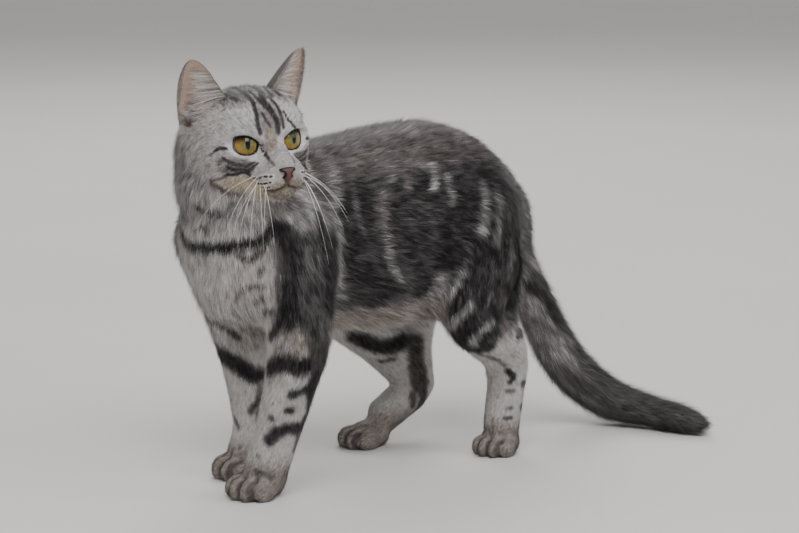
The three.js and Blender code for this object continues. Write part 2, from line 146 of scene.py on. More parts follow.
# Each ear, left (1) and right (-1): its root, and the degrees that its opening turns outwards.
EARS = {1: (np.array([-22, 25, 6]), 38), -1: (np.array([-22, 29.5, 6]), 44)}
EAR_TIP = np.array([-9, 39.5, 56])
EAR_HALF = 19
EAR_FLARE = 9  # how much wider the inner edge runs out at the root
EAR_CUP = 24  # how deep the ear's cup is at the root
HOLLOW_AT, HOLLOW_HALF = (-20, 35, 17), (9, 9, 10)


# ---------------------------------------------------------------- vector helpers

def length(v):
    """The length of each vector."""
    return np.sqrt((v * v).sum(-1))


def unit(v):
    """Each vector at the length 1."""
    return v / np.maximum(length(v), 1e-9)[..., None]


def ramp(x, start, end):
    """0 at start, 1 at end, smooth between them."""
    t = np.clip((x - start) / (end - start), 0, 1)
    return t * t * (3 - 2 * t)


def mix(a, b, t):
    """a where t is 0, b where it is 1."""
    return a + (b - a) * t


def metres(p):
    """Places in the frame's own metres."""
    return (p - MIDDLE) * MM


def head_axes():
    """The head's ahead, left and up."""
    turn, roll = math.radians(HEAD_TURN), math.radians(HEAD_ROLL)
    ahead = np.array([math.sin(turn), -math.cos(turn), 0])
    level = np.array([-ahead[1], ahead[0], 0])
    above = np.array([0, 0, 1.0])
    left = level * math.cos(roll) + above * math.sin(roll)
    up = above * math.cos(roll) - level * math.sin(roll)
    return np.array([ahead, left, up])


HEAD_AXES = head_axes()


def to_head(p):
    """Places in the head's frame."""
    return (p - HEAD_AT) @ HEAD_AXES.T


def from_head(q):
    """Places in the body's frame."""
    return HEAD_AT + np.asarray(q, float) @ HEAD_AXES


def fold(q):
    """The head's places with its right side laid over its left."""
    return q * [1, 0, 1] + np.abs(q) * [0, 1, 0]


# ---------------------------------------------------------------- distance fields

def blend(a, b, width):
    """Joins two distances with a fillet of about that width."""
    share = np.maximum(width - np.abs(a - b), 0) / width
    return np.minimum(a, b) - share * share * width / 4


def carve(a, b, width):
    """Takes b out of a, with a rounded edge."""
    return -blend(-a, b, width)


def blend_all(width, distances):
    """Joins several distances with the same fillet."""
    joined = distances[0]
    for d in distances[1:]:
        joined = blend(joined, d, width)
    return joined


def egg(p, centre, half):
    """An ellipsoid with its half axes along x, y and z."""
    q = (p - np.asarray(centre, float)) / half
    near = length(q)
    slope = np.maximum(length(q / half), 1e-6)
    return near * (near - 1) / slope


def pair(q, centre, half):
    """Two eggs mirrored about the head's middle plane."""
    return egg(fold(q), centre, half)


def bar_place(p, a, b):
    """How far along the line from a to b the nearest place on it is, 0 to 1."""
    along = b - a
    return np.clip((p - a) @ along / (along @ along), 0, 1)


def bar(p, a, b):
    """A rounded bar between two joints (x, y, z, radius)."""
    t = bar_place(p, a[:3], b[:3])
    return length(p - a[:3] - t[:, None] * (b[:3] - a[:3])) - mix(a[3], b[3], t)


def on_curve(points, t):
    """The smooth curve through the points, at t counted in points."""
    points = np.asarray(points, float)
    i = np.clip(np.floor(t).astype(int), 0, len(points) - 2)
    w = (t - i)[:, None]
    ends = np.vstack([2 * points[0] - points[1], points, 2 * points[-1] - points[-2]])
    before, a, b, after = (ends[i + k] for k in range(4))
    leave, arrive = (b - before) / 2, (after - a) / 2
    square = 3 * (b - a) - 2 * leave - arrive
    cube = 2 * (a - b) + leave + arrive
    return a + leave * w + square * w**2 + cube * w**3


def beads(joints):
    """Joints close together along the smooth curve, for bars between them."""
    joints = np.asarray(joints, float)
    t = np.linspace(0, len(joints) - 1, 3 * (len(joints) - 1) + 1)
    radius = np.interp(t, np.arange(len(joints)), joints[:, 3])
    return np.column_stack([on_curve(joints[:, :3], t), radius])


CHAINS = {name: beads(joints) for name, joints in LEGS.items()}
CHAINS.update({f"ham_{name}": beads(joints) for name, joints in HAMSTRINGS.items()})
CHAINS["neck"] = beads(NECK)
CHAINS["tail"] = beads(TAIL)


def near_only(p, low, high, field):
    """The field inside a box; far from it, only a large distance."""
    inside = ((p > np.asarray(low)) & (p < np.asarray(high))).all(-1)
    d = np.full(len(p), FAR)
    if inside.any():
        d[inside] = field(p[inside])
    return d


def chain(p, name):
    """Rounded bars along a chain."""
    joints = CHAINS[name]
    reach = joints[:, 3].max() + 30
    low, high = joints[:, :3].min(0) - reach, joints[:, :3].max(0) + reach

    def bars(inner):
        return np.min([bar(inner, a, b) for a, b in zip(joints, joints[1:])], axis=0)

    return near_only(p, low, high, bars)


def limb(p, name):
    """A leg without its paw."""
    if name not in HAMSTRINGS:
        return chain(p, name)
    return blend(chain(p, name), chain(p, f"ham_{name}"), FILLET["hamstring"])


def trunk(p):
    """Ovals whose size runs smoothly along the body."""
    y = np.clip(p[:, 1], TRUNK[0, 0], TRUNK[-1, 0] - 1e-6)
    t = np.interp(y, TRUNK[:, 0], np.arange(len(TRUNK)))
    top, bottom, half = on_curve(TRUNK[:, 1:], t).T
    high = (top - bottom) / 2
    across, above = p[:, 0] / half, (p[:, 2] - (top + bottom) / 2) / high
    near = np.hypot(across, above)
    slope = np.maximum(np.hypot(across / half, above / high), 1e-6)
    ends = np.maximum(TRUNK[0, 0] - p[:, 1], p[:, 1] - TRUNK[-1, 0])
    return np.maximum(near * (near - 1) / slope, ends)


def to_paw(p, name):
    """Across, ahead and up from the middle of a sole, at the forepaw's size."""
    at, heading, scale = PAWS[name]
    ahead = np.array([math.sin(math.radians(heading)), -math.cos(math.radians(heading))])
    q = p[:, :2] - at
    return np.column_stack([q @ [-ahead[1], ahead[0]], q @ ahead, p[:, 2] + SOLE_SINK]) / scale


def paw(p, name):
    """A pad of flesh with four toes."""
    def toes(inner):
        q = to_paw(inner, name)
        four = blend_all(FILLET["toes"], [egg(q, (out, on, 9), TOE_HALF) for out, on in TOES])
        return blend(four, egg(q, (0, -4, 11), (16, 17, 12.5)), FILLET["sole"]) * PAWS[name][2]

    at = np.array([*PAWS[name][0], 10])
    return near_only(p, at - 55, at + 55, toes)


def head(q):
    """The head in its own frame, without its ears."""
    skull = egg(q, (-13, 0, 3), (37, 36, 30))
    forehead = egg(q, (7, 0, 7), (24, 27, 20))
    cheeks = pair(q, (-5, 19.5, -14), (25, 16.5, 21))
    face = blend_all(FILLET["skull"], [skull, forehead, cheeks])
    jaw = bar(q, np.array([4, 0, -23, 16.0]), np.array([34, 0, -30, 9.5]))
    bridge = bar(q, np.array([20, 0, -1, 10.0]), np.array([48, 0, -17, 6.5]))
    muzzle = egg(q, (26, 0, -20), (20, 19, 11.5))
    lips = pair(q, (40.5, 7.2, -24), (13, 9.6, 8.8))
    chin = egg(q, (38.5, 0, -33.5), (9.5, 8.5, 6.5))
    ear_roots = pair(q, (-24, 31, 8), (15, 12, 17))
    eye_rims = pair(q, (10, 17.5, -3), (13.5, 14, 12.5))
    features = [face, jaw, bridge, muzzle, lips, chin, ear_roots, eye_rims]
    return blend_all(FILLET["features"], features)


# How far from the middle of the skull the head, its ears' hollows and its face go on.
HEAD_REACH = 95.0
HOLLOW_REACH = 70
FACE_REACH = 75
SETTLE_REACH = 78


def head_distance(p):
    """The distance to the head, from places in the body's frame."""
    return near_only(p, HEAD_AT - HEAD_REACH, HEAD_AT + HEAD_REACH, lambda inner: head(to_head(inner)))


def parts(p):
    """The distance to each part of the body, out to the tips of the coat."""
    found = {name: blend(limb(p, name), paw(p, name), FILLET["paw"]) for name in LEGS}
    found["trunk"] = trunk(p)
    found["neck"] = chain(p, "neck")
    found["tail"] = chain(p, "tail")
    found["head"] = head_distance(p)
    return found


def cat(p):
    """The whole body as one volume, out to the tips of the coat."""
    part = parts(p)
    legs = np.min([part[name] for name in LEGS], axis=0)
    core = blend_all(FILLET["trunk"], [part["trunk"], part["neck"], part["tail"]])
    return blend(blend(core, legs, FILLET["legs"]), part["head"], FILLET["head"])


# ---------------------------------------------------------------- the skin under the coat

def on_head(p):
    """1 on the head, 0 from the neck back."""
    return 1 - ramp(head_distance(p), -2, 14)


DEPTH = {"paws": 0.8, "body": 2.1, "tail": 2.8, "nape": 2.0, "face": 0.8, "muzzle": 0.6}


def coat_depth(p):
    """How far the skin lies inside the tips of the coat."""
    legs = mix(DEPTH["paws"], DEPTH["body"], ramp(p[:, 2], 18, 120))
    body = mix(legs, DEPTH["tail"], ramp(p[:, 1], 160, 195))
    q = to_head(p)
    face = mix(DEPTH["nape"], DEPTH["face"], ramp(q[:, 0], -25, 14))
    face = mix(face, DEPTH["muzzle"], ramp(q[:, 0], 34, 46))
    return mix(body, face, on_head(p))


def eye_frame(folded):
    """Gaze, outwards and up from the middle of an eyeball, in the folded head."""
    splay, slant = math.radians(LIDS_SPLAY), math.radians(EYE_SLANT)
    e = folded - EYE_AT
    gaze = e @ [math.cos(splay), math.sin(splay), 0]
    out = e @ [-math.sin(splay), math.cos(splay), 0]
    up = e[:, 2]
    return np.column_stack([
        gaze,
        out * math.cos(slant) + up * math.sin(slant),
        up * math.cos(slant) - out * math.sin(slant),
    ])


def lid_gap(e):
    """How far a place is from the edge of the lids' opening, negative between the lids."""
    wide, high = LIDS_HALF
    x, y = e[:, 1], e[:, 2]
    oval = (np.hypot(x / wide, y / np.where(y > 0, high * UPPER_LID, high)) - 1) * high
    inner = np.clip(-x, *INNER_CORNER)
    corner = np.hypot(x + inner, y + 0.15 * (inner - INNER_CORNER[0])) - 0.4
    return blend(oval, corner, 1.4)


def ear_hollow(q):
    """The distance to the hollow at the root of each ear."""
    return pair(q, HOLLOW_AT, HOLLOW_HALF)


MOUTH = [(51, 0, -28), (50, 1.5, -30.5), (49, 6, -32), (45, 10, -33), (38, 13.5, -31.5)]
PHILTRUM = [(54, 0, -24), (52, 0, -30)]


def strokes(q, points):
    """The distance to a line through the points."""
    points = np.asarray(points, float)
    return np.min([
        length(q - a - bar_place(q, a, b)[:, None] * (b - a)) for a, b in zip(points, points[1:])
    ], axis=0)


def face_details(q, d):
    """Lids, mouth and philtrum, cut into the distance d."""
    folded = fold(q)
    e = eye_frame(folded)
    ball = length(e) - EYE_RADIUS
    flared = lid_gap(e) - 0.8 * np.clip(ball, 0, 5)
    opening = np.maximum(flared, LIDS_DEPTH - e[:, 0])
    d = blend(d, ball - 1.2, 3)
    d = carve(d, opening, 0.9)
    d = carve(d, ball - 0.1, 0.3)
    d = carve(d, strokes(folded, MOUTH) - 1.1, 1.4)
    return carve(d, strokes(folded, PHILTRUM) - 0.8, 1.4)


def skin_field(p):
    """The skin, inside the coat by its depth, with the ears' hollows."""
    d = cat(p) + coat_depth(p)
    q = to_head(p)
    near = length(q) < HOLLOW_REACH
    d[near] = carve(d[near], ear_hollow(q[near]), 3)
    return d


def fine_skin_field(p):
    """The skin with the face's details."""
    d = skin_field(p)
    q = to_head(p)
    face = (q[:, 0] > 0) & (length(q) < FACE_REACH)
    d[face] = face_details(q[face], d[face])
    return d


def slope(field, p, step=0.4):
    """The way and rate at which the field grows."""
    return np.column_stack([
        field(p + np.eye(3)[k] * step) - field(p - np.eye(3)[k] * step) for k in range(3)
    ]) / (2 * step)


def settle(field, p, rounds=2):
    """Moves points along the slope onto the field's zero surface."""
    for _ in range(rounds):
        g = slope(field, p)
        step = field(p)[:, None] * g / np.maximum((g * g).sum(-1), 0.2)[:, None]
        p = p - np.clip(step, -1.5, 1.5)
    return p


def mesh_field(field, low, high, cell):
    """The field's zero surface as points and quads, worked out only near the surface."""
    block = 4
    low = np.asarray(low, float)
    blocks = np.ceil((np.asarray(high) - low) / cell / block).astype(int) + 1
    grid = np.stack(np.meshgrid(*[np.arange(n) for n in blocks], indexing="ij"), -1)
    middles = low + (grid.reshape(-1, 3) * block + (block - 1) / 2) * cell
    coarse = field(middles).reshape(blocks)
    near = np.abs(coarse) < cell * block * 1.6
    values = np.repeat(np.repeat(np.repeat(np.sign(coarse) * cell * 3, block, 0), block, 1), block, 2)
    fine = np.repeat(np.repeat(np.repeat(near, block, 0), block, 1), block, 2)
    values[fine] = field(low + np.argwhere(fine) * cell)
    volume = openvdb.FloatGrid(cell * 3)
    volume.copyFromArray(np.clip(values, -3 * cell, 3 * cell))
    points, quads = volume.convertToQuads(isovalue=0)
    return low + points.astype(float) * cell, quads.astype(int)


def refine(points, faces, inside):
    """Splits each edge whose two ends are inside a zone, and leaves triangles."""
    mesh = bpy.data.meshes.new("refined")
    mesh.from_pydata(points.tolist(), [], faces)
    form = bmesh.new()
    form.from_mesh(mesh)
    form.verts.ensure_lookup_table()
    for zone in inside:
        chosen = zone(np.array([v.co[:] for v in form.verts]))
        edges = [e for e in form.edges if chosen[e.verts[0].index] and chosen[e.verts[1].index]]
        bmesh.ops.subdivide_edges(form, edges=edges, cuts=1, use_grid_fill=True)
        form.verts.index_update()
    bmesh.ops.triangulate(form, faces=form.faces[:])
    form.to_mesh(mesh)
    form.free()
    found = np.empty(len(mesh.vertices) * 3)
    mesh.vertices.foreach_get("co", found)
    corners = np.empty(len(mesh.loops), int)
    mesh.loops.foreach_get("vertex_index", corners)
    bpy.data.meshes.remove(mesh)
    return found.reshape(-1, 3), corners.reshape(-1, 3)


def head_zone(p):
    """Where the skin's faces are halved: the head."""
    q = to_head(p)
    return (length(q * [1, 1, 1.1]) < 64) & (q[:, 0] > -34) & (q[:, 2] > -44)


def face_zone(p):
    """Where they are halved again: the eyes and the mouth."""
    q = to_head(p)
    folded = fold(q)
    e = eye_frame(folded)
    eyes = (length(e * [0.3, 1, 1.2]) < 12.5) & (e[:, 0] > 0)
    mouth = length((q - [50, 0, -26]) / [14, 17, 12]) < 1
    return eyes | mouth


BODY_BOX = ((-80, -140, -6), (120, 290, 330))
SKIN_LIFT = 0.3  # the lowest skin over the floor


def body_shell(cell):
    """The skin of the whole body but the ears, finest on the face."""
    points, quads = mesh_field(skin_field, *BODY_BOX, cell)
    points = settle(skin_field, points, 1)
    points, faces = refine(points, quads.tolist(), [head_zone, face_zone])
    fine = length(to_head(points)) < SETTLE_REACH
    points[fine] = settle(fine_skin_field, points[fine], 4)
    points[:, 2] = np.maximum(points[:, 2], SKIN_LIFT)
    return points, faces


# ---------------------------------------------------------------- the ears

def ear_place(s, h, depth, side):
    """A place on an ear: s from its inner to its outer edge, h from root to tip, depth from its
    furred back (0) to its open face (1)."""
    root, facing = EARS[side]
    risen = np.maximum(h, 0)
    inner = EAR_HALF * (1 - risen**2.6) ** 0.5 + EAR_FLARE * np.maximum(1 - risen / 0.7, 0)
    outer = EAR_HALF * (1 - risen**2.2) ** 0.6
    cup = EAR_CUP * (1 - h) ** 0.6
    wide = np.maximum(np.where(s < 0, inner, outer) - 0.9, 0.8)
    thick = 1.9 * (1 - 0.55 * s * s)
    pocket = 2.6 * np.exp(-(((s - 0.82) / 0.16) ** 2) - ((h - 0.24) / 0.13) ** 2)
    bend = (s * s - 1) * cup + 0.4 + depth * thick + pocket * depth
    turn = math.radians(facing)
    ahead = np.array([math.cos(turn), math.sin(turn), 0])
    outwards = np.array([-math.sin(turn), math.cos(turn), 0])
    centre = mix(root, EAR_TIP - [0, 0, 1.2], h[..., None])
    q = centre + (s * wide)[..., None] * outwards + bend[..., None] * ahead
    return q * [1, side, 1]


def ear_shell(side):
    """An ear's two faces, joined along the edge. Returns points, triangles, and for each point
    its s, h and depth."""
    columns, rows = 30, 34
    around = 2 * columns
    h = np.repeat(1.14 * np.linspace(0, 1, rows + 1) ** 0.85 - 0.14, around)
    turn = np.tile(np.arange(around) / around, rows + 1)
    s = np.cos(2 * math.pi * turn)
    plump = np.minimum(1, 1.6 * np.sqrt(np.maximum(1 - s * s, 0)) + 0.25)
    depth = 0.5 + 0.5 * np.sin(2 * math.pi * turn) * plump
    points = from_head(ear_place(s, h, depth, side))
    tip = len(points)
    points = np.vstack([points, points[-around:].mean(0)])
    i = np.arange(around)
    after = (i + 1) % around
    faces = []
    for level in range(rows):
        a, b = level * around + i, level * around + after
        c, d = a + around, b + around
        faces += [np.column_stack([a, b, d]), np.column_stack([a, d, c])]
    faces.append(np.column_stack([rows * around + i, rows * around + after, np.full(around, tip)]))
    faces = np.vstack(faces)
    if side > 0:
        faces = faces[:, ::-1]
    shape = np.column_stack([np.append(s, 0), np.append(h, 1), np.append(depth, 0.5)])
    return points, faces, shape


# ---------------------------------------------------------------- meshes

def new_object(name, points, faces, material=None, smooth=True):
    """A mesh object from places in millimetres. All its faces have the same number of corners."""
    faces = np.asarray(faces)
    mesh = bpy.data.meshes.new(name)
    mesh.vertices.add(len(points))
    mesh.vertices.foreach_set("co", metres(np.asarray(points)).ravel())
    mesh.loops.add(faces.size)
    mesh.loops.foreach_set("vertex_index", faces.ravel().astype(np.int32))
    mesh.polygons.add(len(faces))
    mesh.polygons.foreach_set("loop_start", np.arange(len(faces), dtype=np.int32) * faces.shape[1])
    mesh.update(calc_edges=True)
    mesh.polygons.foreach_set("use_smooth", np.full(len(faces), smooth))
    made = bpy.data.objects.new(name, mesh)
    bpy.context.scene.collection.objects.link(made)
    if material:
        mesh.materials.append(material)
    return made


def set_colours(mesh, name, colours):
    """Writes a colour for each vertex."""
    layer = mesh.color_attributes.new(name, "FLOAT_COLOR", "POINT")
    layer.data.foreach_set("color", np.column_stack([colours, np.ones(len(colours))]).ravel())


def face_normals(points, faces):
    """Each triangle's normal, at twice its area."""
    a, b, c = (points[faces[:, k]] for k in range(3))
    return np.cross(b - a, c - a)


def vertex_normals(points, faces):
    """The unit normal at each point."""
    each = face_normals(points, faces)
    found = np.zeros_like(points)
    for k in range(3):
        np.add.at(found, faces[:, k], each)
    return unit(found)


# ---------------------------------------------------------------- how the coat lies

LATTICE = 32  # cells before the random values repeat


def wander(p, cell, seed):
    """Smooth random values between -1 and 1 that change over about the size of a cell."""
    lattice = np.random.default_rng(seed).uniform(-1, 1, (LATTICE, LATTICE, LATTICE))
    at = p / cell
    low = np.floor(at).astype(int)
    t = at - low
    t = t * t * (3 - 2 * t)
    found = np.zeros(len(p))
    for corner in np.ndindex(2, 2, 2):
        i = (low + corner) % LATTICE
        share = np.prod(np.where(np.array(corner) == 1, t, 1 - t), axis=1)
        found += share * lattice[i[:, 0], i[:, 1], i[:, 2]]
    return found


def along_chain(p, name):
    """The direction down a chain, from its first joint to its last, near each place."""
    joints = CHAINS[name]
    ways, nearness = [], []
    for a, b in zip(joints, joints[1:]):
        ways.append(unit(b[:3] - a[:3]))
        nearness.append(bar(p, a, b))
    nearness = np.array(nearness)
    shares = np.exp(-(nearness - nearness.min(0)) / 4)
    return unit(shares.T @ np.array(ways))


def way_of(name, p):
    """The way that the hair points on one part."""
    if name == "trunk":
        back = np.array([0, 1, -0.25])
        chest = np.array([0, 0.2, -1])
        return mix(back, chest, ramp(p[:, 1], -78, -118)[:, None])
    if name == "neck":
        throat = np.array([0, -0.1, -1])
        nape = np.array([0, 0.9, -0.8])
        return mix(nape, throat, ramp(p[:, 1], -80, -110)[:, None])
    if name == "head":
        return unit(to_head(p) - NOSE_AT - [4, 0, 5]) @ HEAD_AXES
    if name == "tail":
        return along_chain(p, name)
    heading = math.radians(PAWS[name][1])
    toes = np.array([math.sin(heading), -math.cos(heading), -0.35])
    return mix(along_chain(p, name), toes, ramp(p[:, 2], 30, 14)[:, None])


def lie(p, normals):
    """The direction of the coat along the skin."""
    part = parts(p)
    nearest = np.min(list(part.values()), axis=0)
    way = np.zeros_like(p)
    for name, d in part.items():
        share = np.exp(-(d - nearest) / 6)
        close = share > 0.01
        way[close] += share[close, None] * unit(way_of(name, p[close]))
    swirl = np.column_stack([wander(p, 22, seed) for seed in (11, 12, 13)]) * 0.16
    way = unit(way) + swirl
    return unit(way - (way * normals).sum(-1)[:, None] * normals)


FLANK_HAIR = 0.0095  # metres, as the panel shows it
HAIR = {
    "paws": 3.4, "legs": 7.5, "flanks": 9.5, "belly": 13, "tail": 10.5, "nape": 7.0, "face": 3.0,
    "muzzle": 1.6, "ears": 3.2,
}


def coat_length(p, normals):
    """How long the hair is, in millimetres."""
    q = to_head(p)
    legs = mix(HAIR["paws"], HAIR["legs"], ramp(p[:, 2], 22, 125))
    long = mix(legs, HAIR["flanks"], ramp(p[:, 2], 95, 150))
    belly = ramp(-normals[:, 2], 0.2, 0.8) * ramp(p[:, 2], 85, 100)
    long = mix(long, HAIR["belly"], belly)
    long = mix(long, HAIR["tail"], ramp(p[:, 1], 165, 190))
    face = mix(HAIR["nape"], HAIR["face"], ramp(q[:, 0], -26, 12))
    face = mix(face, HAIR["muzzle"], ramp(q[:, 0], 26, 44))
    return mix(long, face, on_head(p))


def bare(p):
    """1 where no hair grows: between the lids, on the nose and in the mouth."""
    q = to_head(p)
    folded = fold(q)
    e = eye_frame(folded)
    eye = ramp(lid_gap(e), 1.0, 0.3) * (e[:, 0] > 0)
    nose = ramp(np.minimum(nose_field(q), nostril_distance(folded)), 1.1, 0.3)
    return np.maximum(np.maximum(eye, nose), ramp(ear_hollow(q), 0.5, -0.5))


# ---------------------------------------------------------------- markings

# Each mark: where it applies, width, tone (0 charcoal, 1 silver), warmth, then the points of its
# middle line. "head" and "body" marks are on one side only, "face" and "side" marks on both.
MOUTH_LINE = to_head(settle(skin_field, from_head(MOUTH), 4))
FACE_MARKS = [
    ("head", 15, 0.52, 0.5, [(29, -1, 10), (24, -1, 20), (12, -2, 28)]),
    ("head", 3.0, 0.04, 0, [(30, -9, 5), (29, -10, 12), (25, -9, 19), (17, -8, 25), (7, -8, 29)]),
    ("head", 4.6, 0.03, 0, [(32, 4, 5), (30, 4, 12), (27, 2, 18), (22, 0, 23), (15, -2, 27)]),
    ("head", 2.6, 0.04, 0, [(30, 9, 7), (27, 8, 16), (21, 7, 23), (13, 5, 27)]),
    ("head", 2.2, 0.08, 0, [(23, 18, 5), (27, 13, 12), (25, 11, 17)]),
    ("head", 2.0, 0.08, 0, [(31, -1, 8), (29, -4, 14), (27, -5, 18)]),
    ("head", 3.0, 0.06, 0, [(7, -8, 29), (-9, -8, 32), (-24, -8, 31)]),
    ("head", 4.6, 0.04, 0, [(19, -1, 25), (8, 2, 29), (-4, 3, 32), (-25, 2, 31)]),
    ("head", 3.0, 0.06, 0, [(13, 8, 26), (2, 9, 30), (-10, 11, 30), (-24, 13, 28)]),
    ("face", 3.0, 0.12, 0, [(8, 15, 26), (-8, 17, 28), (-24, 19, 26)]),
    ("head", 2.0, 0.08, 0, [(24, -2, 21), (12, -4, 28), (0, -4, 31)]),
    ("head", 9.0, 0.55, 0.9, [(31, -2, 4), (36, -4, -4)]),
    ("face", 4.4, 0.02, 0.3, [(24, 8, -3), (28, 8, -5.5)]),
    ("face", 3.6, 0.04, 0.4, [(28, 8, -5.5), (36, 9, -8.5)]),
    ("face", 2.4, 0.15, 0.6, [(36, 9, -8.5), (42, 9, -11)]),
    ("face", 1.6, 0.35, 0.8, [(42, 9, -11), (48, 7, -15)]),
    ("face", 2.4, 0.03, 0, [(18, 29, -4), (11, 33, -5), (4, 36, -9)]),
    ("face", 3.6, 0.0, 0, [(4, 36, -9), (-3, 39, -14), (-9, 41, -18)]),
    ("face", 4.0, 0.0, 0, [(-8, 41, -18), (-17, 45, -19)]),
    ("face", 11, 0.5, 0.2, [(12, 31, -16), (20, 24, -18), (29, 18, -18)]),
    ("face", 2.2, 0.15, 0, [(14, 31, -11), (18, 26, -15), (22, 20, -17), (30, 15, -14)]),
    ("face", 2.8, 0.1, 0, [(15, 29, -18), (20, 22, -20), (30, 18, -19), (34, 15, -14)]),
    ("face", 2.4, 0.05, 0, [(28, 18, -23), (17, 23, -23), (13, 28, -23), (7, 32, -26), (0, 36, -28)]),
    ("face", 2.0, 0.3, 0, [(-3, 38, -28), (-2, 38, -20), (4, 36, -15)]),
    ("face", 5.0, 0.04, 0.4, [(-2, 35, -39), (3, 29, -40), (6, 24, -42), (9, 17, -43)]),
    ("face", 4.2, 0.15, 0.4, [(0, 35, -32), (4, 30, -36)]),
    ("face", 5.0, 0.2, 0, [(-34, 42, 11), (-23, 44, 7)]),
    ("face", 8, 0.16, 1.3, [(-27, 43, 12), (-18, 41, 11)]),
]
HEAD_SPACES = ("head", "face")
TEAR_LINE = [(25, 8, -3.5), (27, 8, -6.5), (33, 9, -8)]  # from the inner corner of each eye
WHISKER_SPOTS = 4.4  # dark spots along each row
WHISKER_ROWS = [
    ("face", 1, 0, 0, [(30, 18, -25), (43, 15, -22.8), (51, 10.5, -21.5)]),
    ("face", 1, 0, 0, [(30, 16.5, -29), (42, 15, -26.8), (50, 11, -25)]),
    ("face", 1, 0, 0, [(31, 14, -32), (40, 13.8, -30.3), (48, 11.5, -28.6)]),
]
NECK_MARKS = [
    ("body", 3.5, 0.12, 0, [(-4, -131, 201), (10, -127, 196), (17, -124, 195)]),
    ("body", 5, 0.3, 0, [(4, -130, 187), (6, -129, 184)]),
    ("body", 7.5, 0.02, 0, [(-46, -104, 188), (-27, -120, 173), (-9, -128, 171), (13, -127, 173)]),
    ("body", 8, 0.02, 0, [(18, -126, 173), (29, -118, 176), (41, -111, 179), (48, -104, 189)]),
    ("body", 4, 0.15, 1, [(27, -119, 167), (32, -116, 166), (38, -113, 168), (43, -110, 173)]),
    ("body", 4, 0.25, 0.5, [(42, -111, 160), (39, -112, 156)]),
    ("body", 3.5, 0.35, 1, [(41, -110, 147), (31, -112, 146), (24, -115, 142), (18, -113, 135)]),
    ("body", 4.5, 0.4, 1, [(29, -108, 134), (40, -109, 138)]),
    ("body", 4, 0.15, 0.5, [(37, -105, 128), (48, -107, 131)]),
    ("side", 8, 0.06, 0.5, [(44, -107, 113), (50, -107, 118), (56, -106, 124)]),
    ("body", 4, 0.15, 0, [(-51, -80, 110), (-43, -78, 107), (-34, -75, 104), (-28, -71, 99)]),
    ("body", 9, 0.25, 0, [(-30, -60, 222), (-24, -78, 226), (-30, -92, 232)]),
    ("body", 9, 0.25, 0, [(28, -50, 226), (18, -66, 234)]),
]
SIDE_MARKS = [
    ("side", 16, 0.04, 0, [
        (52, -104, 188), (62, -97, 175), (64, -97, 158), (61, -102, 141), (59, -104, 126),
    ]),
    ("side", 22, 0.19, 0, [(66, -84, 165), (70, -90, 138), (72, -86, 112)]),
    ("side", 7, 0.07, 0, [
        (57, -71, 196), (66, -74, 180), (66, -70, 166), (68, -70, 148), (71, -75, 139),
    ]),
    ("side", 7, 0.47, 0, [(46, -96, 204), (49, -84, 206), (57, -82, 197)]),
    ("side", 5.6, 0.47, 0, [(65, -90, 174), (68, -90, 161)]),
    ("side", 3, 0.35, 1, [(66, -81, 174), (70, -83, 157)]),
    ("side", 26, 0.04, 0, [(50, 71, 204), (57, 65, 182), (60, 61, 152)]),
    ("side", 20, 0.08, 0, [(57, -23, 168), (54, -19, 150), (44, -2, 130)]),
    ("side", 20, 0.09, 0, [(54, 10, 196), (58, 8, 167), (52, 14, 138)]),
    ("side", 20, 0.12, 0, [(59, 32, 180), (58, 32, 150), (50, 36, 134)]),
    ("side", 9.8, 0.49, 0, [(37, -39, 225), (45, -44, 216), (52, -50, 203), (56, -53, 195), (59, -52, 177)]),
    ("side", 11.2, 0.53, 0, [(59, -52, 177), (59, -51, 161), (50, -41, 143), (44, -36, 128)]),
    ("side", 4.2, 0.37, 0, [(43, -25, 218), (51, -30, 205), (55, -31, 191), (56, -27, 179)]),
    ("side", 6.4, 0.42, 0.3, [(51, -3, 204), (56, -7, 189), (57, -6, 175), (57, -3, 161), (56, 3, 149)]),
    ("side", 6.4, 0.47, 0, [(57, -3, 161), (56, 3, 149), (53, 12, 139)]),
    ("side", 3.6, 0.29, 0.5, [(46, -7, 213), (52, -11, 200), (56, -13, 183)]),
    ("side", 5.6, 0.37, 0.3, [(41, 15, 222), (34, 28, 230), (43, 29, 220)]),
    ("side", 4.2, 0.42, 0, [(48, 8, 212), (42, 17, 221)]),
    ("side", 5.6, 0.39, 0.4, [(45, 20, 217), (50, 21, 211), (53, 20, 204)]),
    ("side", 6.3, 0.67, 0, [(44, 39, 219), (45, 41, 218)]),
    ("side", 6.3, 0.62, 0, [(45, 49, 218), (49, 47, 212), (54, 44, 203)]),
    ("side", 5.3, 0.49, 0, [(49, 61, 210), (53, 59, 200), (56, 60, 190)]),
    ("side", 7, 0.51, 0, [(49, 98, 201), (54, 95, 190), (59, 91, 180), (63, 84, 169), (66, 79, 158)]),
    ("side", 5.9, 0.45, 0, [(54, 109, 190), (57, 107, 182), (64, 98, 169), (69, 89, 159)]),
    ("side", 7, 0.32, 0.6, [(66, 112, 160), (73, 102, 148), (74, 95, 134)]),
    ("side", 12, 0.18, 0.2, [(0, -60, 238), (0, 0, 242), (0, 70, 243), (0, 130, 226), (0, 165, 190)]),
    ("side", 6, 0.3, 0.3, [(17, -50, 237), (19, 20, 241), (19, 80, 241), (16, 120, 228)]),
]
